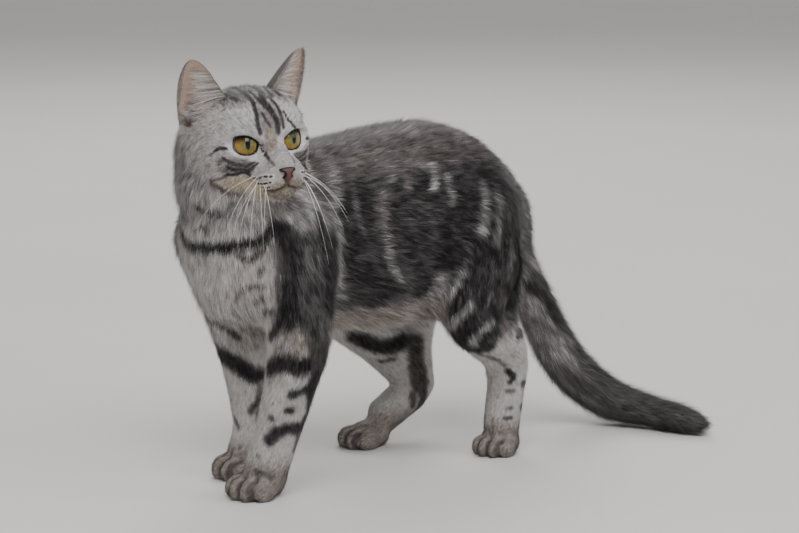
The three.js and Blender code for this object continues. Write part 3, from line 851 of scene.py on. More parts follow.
HIND_MARKS = [
    ("side", 42, 0.07, 0, [(64, 78, 142), (66, 74, 118), (62, 74, 100)]),
    ("side", 5.5, 0.62, 0, [(63, 63, 140), (60, 58, 131), (55, 54, 122)]),
    ("side", 6.5, 0.6, 0, [(70, 64, 118), (65, 60, 112), (53, 60, 101)]),
    ("side", 6, 0.6, 0, [(76, 78, 105), (73, 72, 99), (62, 71, 88)]),
    ("side", 2.6, 0.3, 0, [(71, 83, 148), (75, 80, 132), (76, 74, 119)]),
    ("side", 6.5, 0.03, 0, [(46, 67, 92), (60, 65, 94), (70, 67, 101)]),
    ("side", 6, 0.42, 1, [(76, 92, 120), (73, 97, 104), (74, 92, 94)]),
    ("body", 5, 0.5, 0, [(59, 84, 79), (61, 92, 76), (61, 102, 72), (59, 111, 68)]),
    ("body", 4.5, 0.06, 0, [(60, 112, 60), (57, 120, 58), (54, 120, 55)]),
    ("body", 2.2, 0.3, 0, [(54, 116, 47), (56, 122, 47)]),
    ("body", 2.2, 0.4, 0, [(55, 115, 34), (57, 120, 35)]),
    ("body", 2.6, 0.15, 0, [(55, 114, 28), (57, 118, 28)]),
    ("body", 13, 0.03, 0, [(-38, 52, 84), (-34, 62, 78), (-30, 76, 74), (-27, 93, 77)]),
    ("body", 4, 0.35, 0.5, [(-36, 76, 62), (-29, 84, 65)]),
    ("body", 15, 0.2, 0.7, [(-25, 106, 44), (-25, 103, 58), (-27, 104, 74)]),
    ("body", 9, 0.12, 0, [(-58, 46, 90), (-68, 58, 90), (-66, 74, 86), (-56, 90, 84)]),
    ("body", 7, 0.25, 0, [(-60, 78, 62), (-60, 92, 60), (-50, 108, 58)]),
    ("body", 5, 0.3, 0, [(-54, 98, 40), (-50, 112, 38)]),
    ("body", 8, 0.2, 0, [(62, 116, 88), (50, 126, 84), (36, 120, 84)]),
    ("body", 6, 0.3, 0, [(56, 130, 52), (44, 138, 50), (32, 128, 50)]),
    ("body", 5, 0.35, 0, [(54, 128, 34), (44, 134, 33), (32, 126, 34)]),
    ("body", 9, 0.2, 0.5, [(-30, 110, 42), (-33, 107, 22)]),
    ("body", 6, 0.3, 1, [(-26, 99, 35), (-26, 100, 28)]),
    ("body", 6, 0.08, 0, [(-34, 102, 14), (-36, 92, 6)]),
]
FORE_MARKS = [
    ("body", 12, 0.03, 0, [(-50, -72, 86), (-36, -75, 83), (-25, -72, 79), (-19, -66, 74), (-17, -58, 72)]),
    ("body", 10, 0.1, 0, [(-50, -72, 86), (-60, -60, 88), (-58, -44, 90), (-44, -36, 90)]),
    ("body", 6, 0.25, 0, [(-46, -68, 58), (-50, -58, 57), (-42, -46, 56)]),
    # Painted shade: a darker line down the inner side of the right foreleg, along the gap between the
    # forelegs.
    ("body", 7, 0.5, 0.3, [(-17, -60, 66), (-16, -62, 54), (-14, -64, 42)]),
    ("body", 8, 0.2, 0, [(54, -64, 92), (38, -68, 90), (28, -84, 90)]),
    ("body", 6, 0.3, 0, [(44, -78, 60), (30, -84, 60), (26, -92, 58)]),
    ("body", 4.5, 0.2, 0.4, [(-16, -62, 56), (-17, -67, 52), (-18, -69, 48)]),
    ("body", 3, 0.35, 0, [(-32, -72, 42), (-25, -74, 36)]),
    ("body", 2.5, 0.4, 0, [(-21, -77, 23), (-20, -78, 22)]),
    ("body", 3, 0.3, 0, [(-13, -83, 15), (-15, -82, 16)]),
    ("body", 13, 0.04, 0, [(44, -108, 92), (58, -106, 97), (65, -101, 94), (70, -93, 96), (71, -83, 102)]),
    ("body", 17, 0.12, 0, [(70, -84, 98), (67, -79, 84), (63, -78, 72)]),
    ("body", 7, 0.62, 0, [(54, -109, 106), (62, -104, 110)]),
    ("body", 6, 0.1, 0, [(61, -102, 75), (65, -93, 78), (64, -79, 80)]),
    ("body", 10, 0.1, 0, [(67, -86, 86), (64, -84, 73), (57, -83, 58), (54, -86, 46)]),
    ("body", 4.6, 0.12, 0, [(57, -102, 64), (59, -100, 64)]),
    ("body", 3.6, 0.35, 0, [(46, -109, 58), (48, -108, 58)]),
    ("body", 9, 0.1, 0, [(45, -108, 43), (50, -104, 49), (55, -98, 51), (54, -87, 49)]),
    ("body", 5, 0.15, 0, [(56, -89, 52), (58, -84, 61), (61, -81, 70)]),
    ("body", 5, 0.45, 0, [(53, -88, 45), (49, -90, 35)]),
    ("body", 3.2, 0.3, 0, [(36, -114, 21), (41, -111, 19), (45, -107, 16)]),
    ("body", 2, 0.4, 0, [(37, -112, 32), (38, -112, 31)]),
    ("body", 3, 0.45, 0, [(44, -93, 17), (45, -88, 27)]),
]
TAIL_MARKS = [
    ("body", 8, 0.55, 0, [(12, 178, 136), (17, 190, 126), (18, 198, 124)]),
    ("body", 10, 0.1, 0, [(14, 184, 112), (18, 192, 104), (23, 208, 84)]),
    ("body", 6, 0.5, 0, [(14, 190, 86), (20, 204, 74), (27, 216, 66)]),
    ("body", 5, 0.45, 0.2, [(17, 197, 62), (17, 208, 46), (24, 223, 30), (33, 236, 18)]),
    ("body", 7, 0.3, 0, [(20, 226, 60), (32, 240, 50)]),
    ("body", 6, 0.24, 0, [(36, 244, 26), (46, 256, 34)]),
]


def laid(marks):
    """The marks with their lines smoothed and laid along the tips of the coat."""
    lines = [
        on_curve(points, np.linspace(0, len(points) - 1, 3 * len(points) - 2)) for *_, points in marks
    ]
    lines = [from_head(line) if mark[0] in HEAD_SPACES else line for mark, line in zip(marks, lines)]
    ends = np.cumsum([len(line) for line in lines])[:-1]
    lines = np.split(settle(cat, np.vstack(lines), 4), ends)
    lines = [to_head(line) if mark[0] in HEAD_SPACES else line for mark, line in zip(marks, lines)]
    return [(*mark[:4], line) for mark, line in zip(marks, lines)]


def mark_cover(q, width, points, blur):
    """How much a mark covers each place."""
    points = np.array(points, float)
    reach = width / 2 + blur + 2
    d = near_only(q, points.min(0) - reach, points.max(0) + reach, lambda near: strokes(near, points))
    return ramp(d, width / 2 + blur, width / 2 - blur)


FACE_LINES = laid(FACE_MARKS)
BODY_LINES = laid(NECK_MARKS + SIDE_MARKS + HIND_MARKS + FORE_MARKS + TAIL_MARKS)
WHISKER_LINES = [line for *_, line in laid(WHISKER_ROWS)]


# The ground tone of each part, under its marks.
TONE = {
    "flanks": 0.06, "back": 0.28, "belly": 0.61, "rump": 0.33, "chest": 0.83, "neck": 0.64,
    "legs": 0.85, "paws": 0.58, "tail": 0.22, "tail_front": 0.58, "face": 0.8, "crown": 0.4,
    "cheeks": 0.74, "muzzle": 0.66, "chin": 0.55,
}
TAIL_LINE = ([39, 65, 101, 138, 168], [234, 215, 197, 178, 156])  # height, and how far back


def base_tone(p, q, head_share):
    """The coat's tone and warmth before its marks."""
    x, y, z = np.abs(p[:, 0]), p[:, 1], p[:, 2]
    side = mix(TONE["flanks"], TONE["back"], ramp(z, 205, 226))
    under = mix(134, 156, ramp(y, 0, 62)) - z
    under = ramp(under, 0, 20) * ramp(y, 86, 58)
    tone = mix(side, TONE["belly"], under)
    warm = mix(0.1, 0.75, np.maximum(0.6 * ramp(z, 205, 226), under * ramp(z, 134, 110)))
    rump = ramp(y, 118, 140) * ramp(z, 120, 150)
    tone = mix(tone, TONE["rump"], rump)
    chest = ramp(y, -62, -80) * ramp(x, 60, 44)
    tone = mix(tone, TONE["chest"], chest * ramp(z, 206, 190))
    warm = mix(warm, 0.15, chest)
    neck = ramp(z, 178, 190) * ramp(y, -45, -75)
    tone = mix(tone, TONE["neck"], neck)
    legs = ramp(z, 112, 84) * ramp(y, 165, 150)
    tone = mix(tone, TONE["legs"], legs)
    paws = ramp(z, 34, 16) * ramp(y, 165, 150)
    warm = mix(mix(warm, 0.15, legs), 0.7, paws)
    tone = mix(tone, TONE["paws"], paws)
    tail = ramp(y, 165, 180)
    pale = ramp(np.interp(z, *TAIL_LINE) - y, 0, 9) * ramp(z, 30, 60)
    tone = mix(tone, mix(TONE["tail"], TONE["tail_front"], pale), tail)
    warm = mix(warm, 0.2, tail)
    crown = ramp(q[:, 2], 19, 29) * ramp(q[:, 0], 26, 8)
    face = mix(TONE["face"], TONE["crown"], crown)
    face = mix(face, TONE["cheeks"], ramp(q[:, 0], 2, -14) * (1 - crown))
    face = mix(face, TONE["muzzle"], ramp(q[:, 0], 34, 44))
    # The chin keeps its own buff colour, but its tone is set darker than the face as painted shade under the
    # muzzle.
    face = mix(face, TONE["chin"], ramp(q[:, 2], -30, -36) * ramp(q[:, 0], 24, 32))
    buff = ramp(q[:, 2], -19, -30) * ramp(q[:, 0], -8, 12)
    buff = buff * mix(1, 0.7, ramp(q[:, 0], 24, 34))
    return mix(tone, face, head_share), mix(warm, 0.15 + 1.1 * buff, head_share)


TOE_GAPS = [-9.2, 0, 9.2]  # across the paw


def toe_gap_shade(p):
    """1 in the gaps between the toes, where the coat is darkened as painted shade."""
    gaps = np.zeros(len(p))
    for name in PAWS:
        near = length(p - [*PAWS[name][0], 8]) < 36
        q = to_paw(p[near], name)
        aside = np.min(np.abs(q[:, 0][:, None] - TOE_GAPS), axis=1)
        gaps[near] = ramp(aside, 1.9, 0.4) * ramp(q[:, 1], 8, 13)
    return gaps


def coat_tone(p):
    """Tone (0 charcoal, 1 silver) and warmth of the coat at each place."""
    q = to_head(p)
    head_share = on_head(p)
    tone, warm = base_tone(p, q, head_share)
    mirrored = p * [0, 1, 1] + np.abs(p) * [1, 0, 0]
    # The right side's marks wander away from the left side's.
    drift = np.where(p[:, 0] < 0, 1.0, 0.25)[:, None] * np.column_stack([
        wander(p, 30, 21), wander(p, 30, 22) * 6, wander(p, 30, 23) * 4,
    ])
    folded = fold(q)
    rough = 0.7 * np.column_stack([wander(p, 4, seed) for seed in (24, 25, 26)])
    spaces = {
        "head": q + rough * 0.5,
        "face": folded + rough * 0.5,
        "body": p + rough * 1.5,
        "side": mirrored + drift + rough * 2,
    }
    for space, width, shade, heat, points in BODY_LINES:
        blur = min(0.22 * width + 0.8, 3.5)
        cover = mark_cover(spaces[space], width, points, blur) * (1 - head_share)
        tone, warm = mix(tone, shade, cover), mix(warm, heat, cover * 0.8)
    near = head_share > 0.02
    tone[near], warm[near] = face_tone(spaces, near, tone[near], warm[near], head_share[near])
    fleck = wander(p * [1, 0.35, 1], 2.2, 27) * 0.6 + wander(p * [1, 0.5, 1], 7, 28) * 0.6
    flecks = mix(0.2, 0.12, head_share) * ramp(p[:, 2], 10, 100)
    clouds = wander(p * [1, 1.5, 0.5], 13, 29) * (1 - head_share) * ramp(p[:, 2], 90, 130)
    # Painted shade darkens the coat between the toes.
    tone = tone + 0.08 * clouds - 0.3 * toe_gap_shade(p)
    return np.clip(tone + fleck * flecks * mix(0.55, 1, 1 - np.abs(tone - 0.5) * 2), 0, 1), warm


def face_tone(spaces, near, tone, warm, share):
    """The marks of the head, on the places near it."""
    folded = spaces["face"][near]
    e = eye_frame(folded)
    gap = np.where(e[:, 0] > -2, lid_gap(e), 20)
    tone = mix(tone, 0.97, ramp(gap, 6.0, 3.2) * ramp(e[:, 2], 2, -3) * 0.8)
    for space, width, shade, heat, points in FACE_LINES:
        cover = mark_cover(spaces[space][near], width, points, 0.16 * width + 0.35) * share
        tone, warm = mix(tone, shade, cover), mix(warm, heat, cover)
    lips = strokes(folded, MOUTH_LINE)
    tone, warm = mix(tone, 0.4, ramp(lips, 3.0, 0.6)), mix(warm, 1.3, ramp(lips, 3.4, 0.5))
    tone = mix(tone, 0.14, ramp(lips, 0.85, 0.35))
    rows = [(strokes(folded, row), bar_place(folded, row[0], row[-1])) for row in WHISKER_LINES]
    for line, along in rows:
        tone = mix(tone, 0.9, ramp(line, 2.4, 1.4))
    for line, along in rows:
        dash = ramp(np.abs(along * WHISKER_SPOTS % 1 - 0.5), 0.49, 0.36)
        tone = mix(tone, 0.08, ramp(line, 1.2, 0.5) * dash)
    tone = mix(tone, 0.05, ramp(strokes(folded, TEAR_LINE), 2.1, 1.3))
    rim = 0.6 + 0.5 * ramp(e[:, 2], 0, 4)
    tone = mix(tone, 0.0, ramp(gap, rim + 0.3, rim - 0.2))
    return tone, warm


def coat_colour(tone, warm, look):
    """The hair's colour from its tone and warmth."""
    dark, mid, pale = (np.array(c) for c in (look.charcoal, look.slate, look.silver))
    low = mix(dark, mid, np.minimum(tone * 2, 1)[:, None])
    colour = mix(low, pale, np.maximum(tone * 2 - 1, 0)[:, None])
    warmth = np.column_stack([0.12 * warm, 0 * warm, -0.2 * warm * warm])
    return np.maximum(colour * (1 + warmth), 0)


# ---------------------------------------------------------------- the coat's hair

UV_PATCH = 0.003  # the size of a hair's patch on the map
ROOT_SINK = 0.3  # how far the roots lie under the skin
FLOOR_GAP = 0.2  # how far the hair stays over the floor
TONE_AT = 0.65  # where along a hair its tone is taken
LENGTHS = (0.65, 1.15)  # shares of the usual length, from the shortest to the longest
WIDTHS = (0.7, 1.3)
LIFTS = (0.55, 1.35)
SHADES = (0.82, 1.0, 1.1)  # brightness at the root, near the tip and at the tip


def sample_skin(cat_skin, chosen, per_mm2, rng):
    """Roots spread over some of the skin's triangles. Returns each root's triangle and shares."""
    points, faces = cat_skin["points"], cat_skin["faces"][chosen]
    area = length(face_normals(points, faces)) / 2
    wanted = area * per_mm2[faces].mean(1)
    count = np.floor(wanted + rng.random(len(wanted))).astype(int)
    triangle = np.repeat(np.arange(len(faces)), count)
    a, b = rng.random((2, len(triangle)))
    over = a + b > 1
    a[over], b[over] = 1 - a[over], 1 - b[over]
    shares = np.column_stack([1 - a - b, a, b])
    return chosen[triangle], faces[triangle], shares


def spread(values, corners, shares):
    """Values at the roots, from the values at the skin's points."""
    picked = values[corners]
    return (picked * shares.reshape(shares.shape + (1,) * (picked.ndim - 2))).sum(1)


def hair_width(tall):
    """How wide a hair is at its root, from its length."""
    return 0.09 + 0.014 * np.minimum(tall, 12)


def tufts(p, size, seed):
    """Three random values from -1 to 1 for the tuft at each place, and the way to its middle."""
    uneven = p / size + 0.45 * np.column_stack([wander(p, size * 1.3, seed + k) for k in range(3)])
    cell = np.floor(uneven)
    values = np.random.default_rng(seed).uniform(-1, 1, (LATTICE, LATTICE, LATTICE, 3))
    i = cell.astype(int) % LATTICE
    return values[i[:, 0], i[:, 1], i[:, 2]], (cell + 0.5 - uneven) * size


def blades(root, normal, way, tall, wide, lift, curl, joints):
    """Flat tapered hairs. Returns their points and triangles, each hair with 2 * joints + 1 points."""
    across = unit(np.cross(normal, way))
    at, rise, points = root, lift, []
    for k in range(joints):
        half = (wide * (1 - 0.9 * k / joints))[:, None] / 2
        points += [at - across * half, at + across * half]
        step = way * np.cos(rise)[:, None] + normal * np.sin(rise)[:, None]
        at = at + step * (tall / joints)[:, None]
        rise = rise - curl
    points.append(at)
    size = len(points)
    first = np.arange(len(root))[:, None] * size
    shape = [(2 * joints - 1, 2 * joints - 2, 2 * joints)]
    for k in range(0, 2 * joints - 2, 2):
        shape += [(k + 1, k, k + 3), (k + 3, k, k + 2)]
    faces = np.concatenate([first + np.array(corner) for corner in shape], 1).reshape(-1, 3)
    return np.stack(points, 1).reshape(-1, 3), faces, size


def hair_piece(name, hairs, colours, normals, places, material):
    """A mesh of hairs with its colours, soft shading and a patch of the skin's map for each hair."""
    points, faces, size = hairs
    piece = new_object(name, points, faces, material)
    mesh = piece.data
    set_colours(mesh, "coat", colours)
    across = np.tile([-0.5, 0.5] * (size // 2) + [0], len(places))
    along = np.tile(np.repeat(np.linspace(-0.5, 0.5, size // 2 + 1), 2)[:size], len(places))
    corner = np.repeat(places, size, 0) + np.column_stack([across, along]) * UV_PATCH
    layer = mesh.uv_layers.new(name="OFBake")
    layer.data.foreach_set("uv", np.clip(corner, 0, 1)[faces.ravel()].ravel())
    mesh.normals_split_custom_set_from_vertices(np.repeat(normals, size, 0))
    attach(piece, "root")
    return piece


def grow(name, cat_skin, chosen, material, look, style, seed, tones=None):
    """Hair over the chosen triangles of the skin. tones are the tone and warmth at the skin's
    points, where the body's marks don't apply."""
    rng = np.random.default_rng(seed)
    density = cat_skin["density"] * style["density"]
    triangle, corners, shares = sample_skin(cat_skin, chosen, density, rng)
    root = spread(cat_skin["points"], corners, shares)
    normal = unit(spread(cat_skin["normals"], corners, shares))
    way = spread(cat_skin["way"], corners, shares)
    count = len(root)
    sway = wander(root, style["lock"], 31) * 0.2 + wander(root, style["lock"] * 0.45, 32) * 0.16
    way = unit(way + np.cross(normal, way) * (sway + rng.normal(0, 0.08, count))[:, None])
    way = unit(way - (way * normal).sum(1)[:, None] * normal)
    tall = spread(cat_skin["tall"], corners, shares) * rng.uniform(*LENGTHS, count)
    large, inwards = tufts(root, style["tuft"], 35)
    small, _ = tufts(root, style["tuft"] * 0.5, 45)
    inwards = inwards - (inwards * normal).sum(1)[:, None] * normal
    aside = np.cross(normal, way) * (0.16 * large[:, 1])[:, None]
    way = unit(way + inwards * (0.5 / tall)[:, None] + aside)
    wide = hair_width(tall) * rng.uniform(*WIDTHS, count)
    lift = style["lift"] * (1 + 0.45 * large[:, 2]) * rng.uniform(*LIFTS, count)
    start = root - normal * ROOT_SINK
    hairs = blades(start, normal, way, tall, wide, lift, style["curl"], style["joints"])
    hairs[0][:, 2] = np.maximum(hairs[0][:, 2], FLOOR_GAP)
    if tones:
        tone, warm = (spread(values, corners, shares) for values in tones)
    else:
        outer = root + normal * coat_depth(root)[:, None]
        tone, warm = coat_tone(outer + way * (tall * TONE_AT)[:, None])
    shade = rng.normal(0, 1, count)
    mottle = (large[:, 0] + 0.7 * small[:, 0]) * style["mottle"]
    tone = np.clip(tone + mottle + shade * mix(0.035, 0.08, 4 * tone * (1 - tone)), 0, 1)
    colour = coat_colour(tone, warm, look) * np.exp(shade * 0.1)[:, None]
    low, high, tip = SHADES
    brighter = np.append(np.repeat(np.linspace(low, high, style["joints"]), 2), tip)
    colours = (colour[:, None, :] * brighter[None, :, None]).reshape(-1, 3)
    places = (cat_skin["map"][triangle] * shares[..., None]).sum(1)
    facing = normal + way * (0.15 + 0.25 * small[:, 2:]) + np.cross(normal, way) * (0.4 * large[:, 1:2])
    return hair_piece(name, hairs, colours, unit(facing), places, material)


# ---------------------------------------------------------------- materials

def new_material(name, build):
    """A material whose nodes are made by build(nodes, links, surface)."""
    made = bpy.data.materials.new(name)
    made.use_nodes = True
    tree = made.node_tree
    build(tree.nodes, tree.links, tree.nodes["Principled BSDF"])
    return made


def noise(nodes, links, scale, detail=3.0, stretch=(1, 1, 1)):
    """A noise texture over the object, in its own metres."""
    place = nodes.new("ShaderNodeTexCoord")
    fit = nodes.new("ShaderNodeMapping")
    fit.inputs["Scale"].default_value = stretch
    texture = nodes.new("ShaderNodeTexNoise")
    texture.inputs["Scale"].default_value = scale
    texture.inputs["Detail"].default_value = detail
    links.new(place.outputs["Object"], fit.inputs["Vector"])
    links.new(fit.outputs["Vector"], texture.inputs["Vector"])
    return texture.outputs["Fac"]


def spans(nodes, links, value, low, high):
    """The value from 0 to 1 as a value from low to high."""
    change = nodes.new("ShaderNodeMapRange")
    change.inputs["To Min"].default_value = low
    change.inputs["To Max"].default_value = high
    links.new(value, change.inputs["Value"])
    return change.outputs["Result"]


def painted(nodes, links, surface, layer, grain, low, high):
    """The colour of a mesh's own layer, varied a little by a grain."""
    paint = nodes.new("ShaderNodeVertexColor")
    paint.layer_name = layer
    vary = nodes.new("ShaderNodeVectorMath")
    vary.operation = "SCALE"
    links.new(paint.outputs["Color"], vary.inputs[0])
    links.new(spans(nodes, links, grain, low, high), vary.inputs["Scale"])
    links.new(vary.outputs["Vector"], surface.inputs["Base Color"])


def bumps(nodes, links, surface, height, strength, distance):
    """Small bumps, their distance in metres."""
    bump = nodes.new("ShaderNodeBump")
    bump.inputs["Strength"].default_value = strength
    bump.inputs["Distance"].default_value = distance
    links.new(height, bump.inputs["Height"])
    links.new(bump.outputs["Normal"], surface.inputs["Normal"])


def hair_material(name, gloss):
    """Hair whose gloss starts at a roughness and varies a little."""
    def build(nodes, links, surface):
        painted(nodes, links, surface, "coat", noise(nodes, links, 900), 0.82, 1.18)
        sheen = spans(nodes, links, noise(nodes, links, 300), gloss, gloss + 0.14)
        links.new(sheen, surface.inputs["Roughness"])
        surface.inputs["Specular IOR Level"].default_value = 0.15
    return new_material(name, build)


def skin_material(name):
    """Skin with a fine grain, in the colours of its coat."""
    def build(nodes, links, surface):
        grain = noise(nodes, links, 420, 5)
        painted(nodes, links, surface, "coat", grain, 0.75, 1.2)
        bumps(nodes, links, surface, grain, 0.35, 0.0006)
        surface.inputs["Roughness"].default_value = 0.62
        surface.inputs["Specular IOR Level"].default_value = 0.3
    return new_material(name, build)


def eye_material(name):
    """Glossy, with the iris, pupil and rim from the layer "gaze"."""
    def build(nodes, links, surface):
        gaze = nodes.new("ShaderNodeVertexColor")
        gaze.layer_name = "gaze"
        links.new(gaze.outputs["Color"], surface.inputs["Base Color"])
        wet = spans(nodes, links, noise(nodes, links, 500), 0.04, 0.1)
        links.new(wet, surface.inputs["Roughness"])
        surface.inputs["Coat Weight"].default_value = 0.25
        surface.inputs["Coat Roughness"].default_value = 0.03
        surface.inputs["Specular IOR Level"].default_value = 0.2
    return new_material(name, build)


def leather_material(name):
    """Pebbled, slightly moist nose leather."""
    def build(nodes, links, surface):
        grain = noise(nodes, links, 2600, 2)
        painted(nodes, links, surface, "coat", grain, 0.8, 1.2)
        bumps(nodes, links, surface, grain, 0.5, 0.00025)
        surface.inputs["Roughness"].default_value = 0.5
        surface.inputs["Specular IOR Level"].default_value = 0.2
    return new_material(name, build)


def whisker_material(name):
    """Smooth pale whiskers."""
    def build(nodes, links, surface):
        painted(nodes, links, surface, "coat", noise(nodes, links, 300), 0.94, 1.06)
        surface.inputs["Roughness"].default_value = 0.4
    return new_material(name, build)


def floor_material(name):
    """Pale matt floor, faintly clouded."""
    def build(nodes, links, surface):
        ramp_node = nodes.new("ShaderNodeValToRGB")
        ramp_node.color_ramp.elements[0].color = (0.56, 0.555, 0.545, 1)
        ramp_node.color_ramp.elements[1].color = (0.62, 0.615, 0.605, 1)
        links.new(noise(nodes, links, 3), ramp_node.inputs["Fac"])
        links.new(ramp_node.outputs["Color"], surface.inputs["Base Color"])
        surface.inputs["Roughness"].default_value = 0.75
    return new_material(name, build)


# ---------------------------------------------------------------- the skin piece

def ear_paint(shape):
    """Tone, warmth and pinkness over an ear, from each point's s, h and depth."""
    s, h, depth = shape.T
    inside = ramp(depth, 0.55, 0.75)
    back = mix(0.24, 0.4, ramp(h, 0.15, 0.6)) + 0.08 * ramp(s, -0.2, 0.9)
    edge = np.maximum(ramp(np.abs(s), 0.8, 1.0), ramp(h, 0.93, 1.0))
    tone = mix(mix(back, 0.74, edge), 0.8, inside)
    return tone, mix(0.6, 0.8, inside), inside


def build_skin(look):
    """The skin's points, triangles and all that the hair needs to know at each point."""
    cell = look.skin_step / MM * 1
    points, faces = body_shell(cell)
    body_count = len(points)
    shapes = [np.full((body_count, 3), -1.0)]
    parts_found, face_sets, sides = [points], [faces], [np.zeros(body_count)]
    for side in (1, -1):
        ear_points, ear_faces, shape = ear_shell(side)
        face_sets.append(ear_faces + sum(len(found) for found in parts_found))
        parts_found.append(ear_points)
        shapes.append(shape)
        sides.append(np.full(len(ear_points), side))
    cat_skin = {
        "points": np.vstack(parts_found),
        "faces": np.vstack(face_sets),
        "shape": np.vstack(shapes),
        "side": np.concatenate(sides),
    }
    describe_coat(cat_skin, body_count, look)
    return cat_skin


SOLE_BARE = 1.5  # no hair grows lower than this, under the paws


def describe_coat(cat_skin, body_count, look):
    """Adds the normals, the lie, length and density of the hair, and the tone."""
    points = cat_skin["points"]
    normals = vertex_normals(points, cat_skin["faces"])
    body = np.arange(len(points)) < body_count
    way, tall = np.zeros_like(points), np.full(len(points), HAIR["ears"])
    way[body] = lie(points[body], normals[body])
    tall[body] = coat_length(points[body], normals[body]) * look.hair_length / FLANK_HAIR
    s, h, depth = cat_skin["shape"].T
    rising = (EAR_TIP - EARS[1][0]) @ HEAD_AXES
    spread_out = np.where(cat_skin["side"][:, None] > 0, 1, -1) * HEAD_AXES[1] * (s * 0.5)[:, None]
    way[~body] = (unit(rising) + spread_out)[~body]
    way[~body] = unit(way - (way * normals).sum(1)[:, None] * normals)[~body]
    tall[~body] = (mix(4.5, 2.2, h) * np.where(depth > 0.6, 0.7, 1))[~body]
    density = 1 / (tall * hair_width(tall))
    density[body] *= 1 - bare(points[body])
    density[body] *= points[body][:, 2] > SOLE_BARE
    tone, warm = np.zeros((2, len(points)))
    tone[body], warm[body] = coat_tone((points + normals * coat_depth(points)[:, None])[body])
    tone[~body], warm[~body], inside = ear_paint(cat_skin["shape"][~body])
    density[~body] *= mix(1, 0.35, inside)
    colour = coat_colour(tone, warm, look) * 0.85
    # Painted shade: the skin in each ear's hollow on the head takes the dark ear colour.
    hollow = (ramp(ear_hollow(to_head(points)), 0.8, -0.4) * body)[:, None]
    colour = mix(colour, np.array(look.ear_recess_shade), hollow)
    # Painted shade: deep in each ear's cup, towards its root and middle, the ear skin darkens to that
    # colour.
    deep = (ramp(h[~body], 0.45, 0.1) * ramp(np.abs(s[~body]), 1.0, 0.5))[:, None]
    flesh = mix(np.array(look.ear_skin), np.array(look.ear_recess_shade), deep)
    colour[~body] = mix(colour[~body], flesh, inside[:, None])
    cat_skin.update(
        normals=normals, way=way, tall=tall, density=density, tone=tone, warm=warm, colour=colour
    )


def unwrap(piece):
    """Lays the piece's own shape out flat as its map."""
    bpy.context.view_layer.objects.active = piece
    piece.select_set(True)
    bpy.ops.object.mode_set(mode="EDIT")
    bpy.ops.mesh.select_all(action="SELECT")
    bpy.ops.uv.smart_project(angle_limit=math.radians(66), island_margin=0.004)
    bpy.ops.object.mode_set(mode="OBJECT")
    piece.select_set(False)
    piece.data.uv_layers[0].name = "OFBake"
    found = np.empty(len(piece.data.loops) * 2)
    piece.data.uv_layers[0].data.foreach_get("uv", found)
    return found.reshape(-1, 3, 2)


# ---------------------------------------------------------------- eyes, nose and whiskers

def eyeball(side):
    """An eyeball with a bulging front, and each point's place across it in millimetres."""
    around, rings = 64, 56
    bend = np.repeat(np.linspace(0, math.pi, rings + 1)[1:], around)
    turn = np.tile(np.arange(around) / around * 2 * math.pi, rings)
    bend, turn = np.append(bend, 0), np.append(turn, 0)
    out, up = np.sin(bend) * np.cos(turn), np.sin(bend) * np.sin(turn)
    bulge = EYE_BULGE * ramp(bend, 0.75, 0.1)
    local = np.column_stack([np.cos(bend), out, up]) * (EYE_RADIUS + bulge)[:, None]
    splay, raised = math.radians(GAZE_SPLAY), math.radians(GAZE_RISE)
    gaze = np.array([math.cos(splay) * math.cos(raised), math.sin(splay), math.sin(raised)])
    outwards = unit(np.cross([0, 0, 1.0], gaze))
    above = np.cross(gaze, outwards)
    places = EYE_AT + local @ np.array([gaze, outwards, above])
    last = len(places) - 1
    i = np.arange(around)
    after = (i + 1) % around
    faces = [np.column_stack([np.full(around, last), i, after])]
    for ring in range(rings - 1):
        a, b = ring * around + i, ring * around + after
        faces += [np.column_stack([a, a + around, b + around]), np.column_stack([a, b + around, b])]
    faces = np.vstack(faces)
    if side < 0:
        faces = faces[:, ::-1]
    across = np.column_stack([out, up]) * EYE_RADIUS * np.where(bend > math.pi / 2, 5, 1)[:, None]
    return from_head(places * [1, side, 1]), faces, across


def eye_colours(across, look):
    """Pupil, iris with fine spokes and painted shade of the upper lid over its top, and dark rim."""
    x, y = across.T
    far = np.hypot(x, y)
    turn = np.arctan2(y, x)
    spokes = wander(np.column_stack([np.cos(turn) * 9, np.sin(turn) * 9, far * 0.5]), 1.0, 41)
    green = ramp(far, 6.0, 2.6)
    iris = mix(np.array(look.iris_gold), np.array(look.iris_green), green[:, None])
    # Painted shade: the iris darkens towards its top, as the upper lid's shadow.
    iris = iris * (1 + 0.22 * spokes)[:, None] * mix(0.95, 0.04, ramp(y, -1, 4.4))[:, None]
    slit = np.hypot(x / PUPIL_HALF[0], y / PUPIL_HALF[1])
    colour = mix(np.full(3, 0.001), iris, ramp(slit, 0.86, 1.08)[:, None])
    return mix(colour, np.full(3, 0.004), ramp(far, *IRIS_EDGE)[:, None])


def nostril_distance(folded):
    """The distance to each nostril, a slot that runs outwards and back."""
    return bar(folded, np.array([54.0, 4.2, -20.8, 1.9]), np.array([50.6, 6.4, -19.4, 2.3]))


def nose_field(q):
    """The nose's leather: pad, wings, nostrils and the crease between them."""
    pad = blend(egg(q, (51.2, 0, -18.8), (4.7, 6.4, 3.2)), egg(q, (51.4, 0, -21.2), (4.2, 5.0, 3.8)), 2)
    pad = blend(pad, egg(q, (51.8, 0, -24), (2.9, 2, 2.6)), 1.5)
    folded = fold(q)
    wing = egg(folded, (52.0, 4.8, -20.1), (2.6, 2.0, 2.2))
    crease = bar(q, np.array([56.3, 0, -20.5, 0.35]), np.array([54.4, 0, -26, 0.5]))
    return carve(carve(blend(pad, wing, 1.5), nostril_distance(folded), 0.6), crease, 0.6)


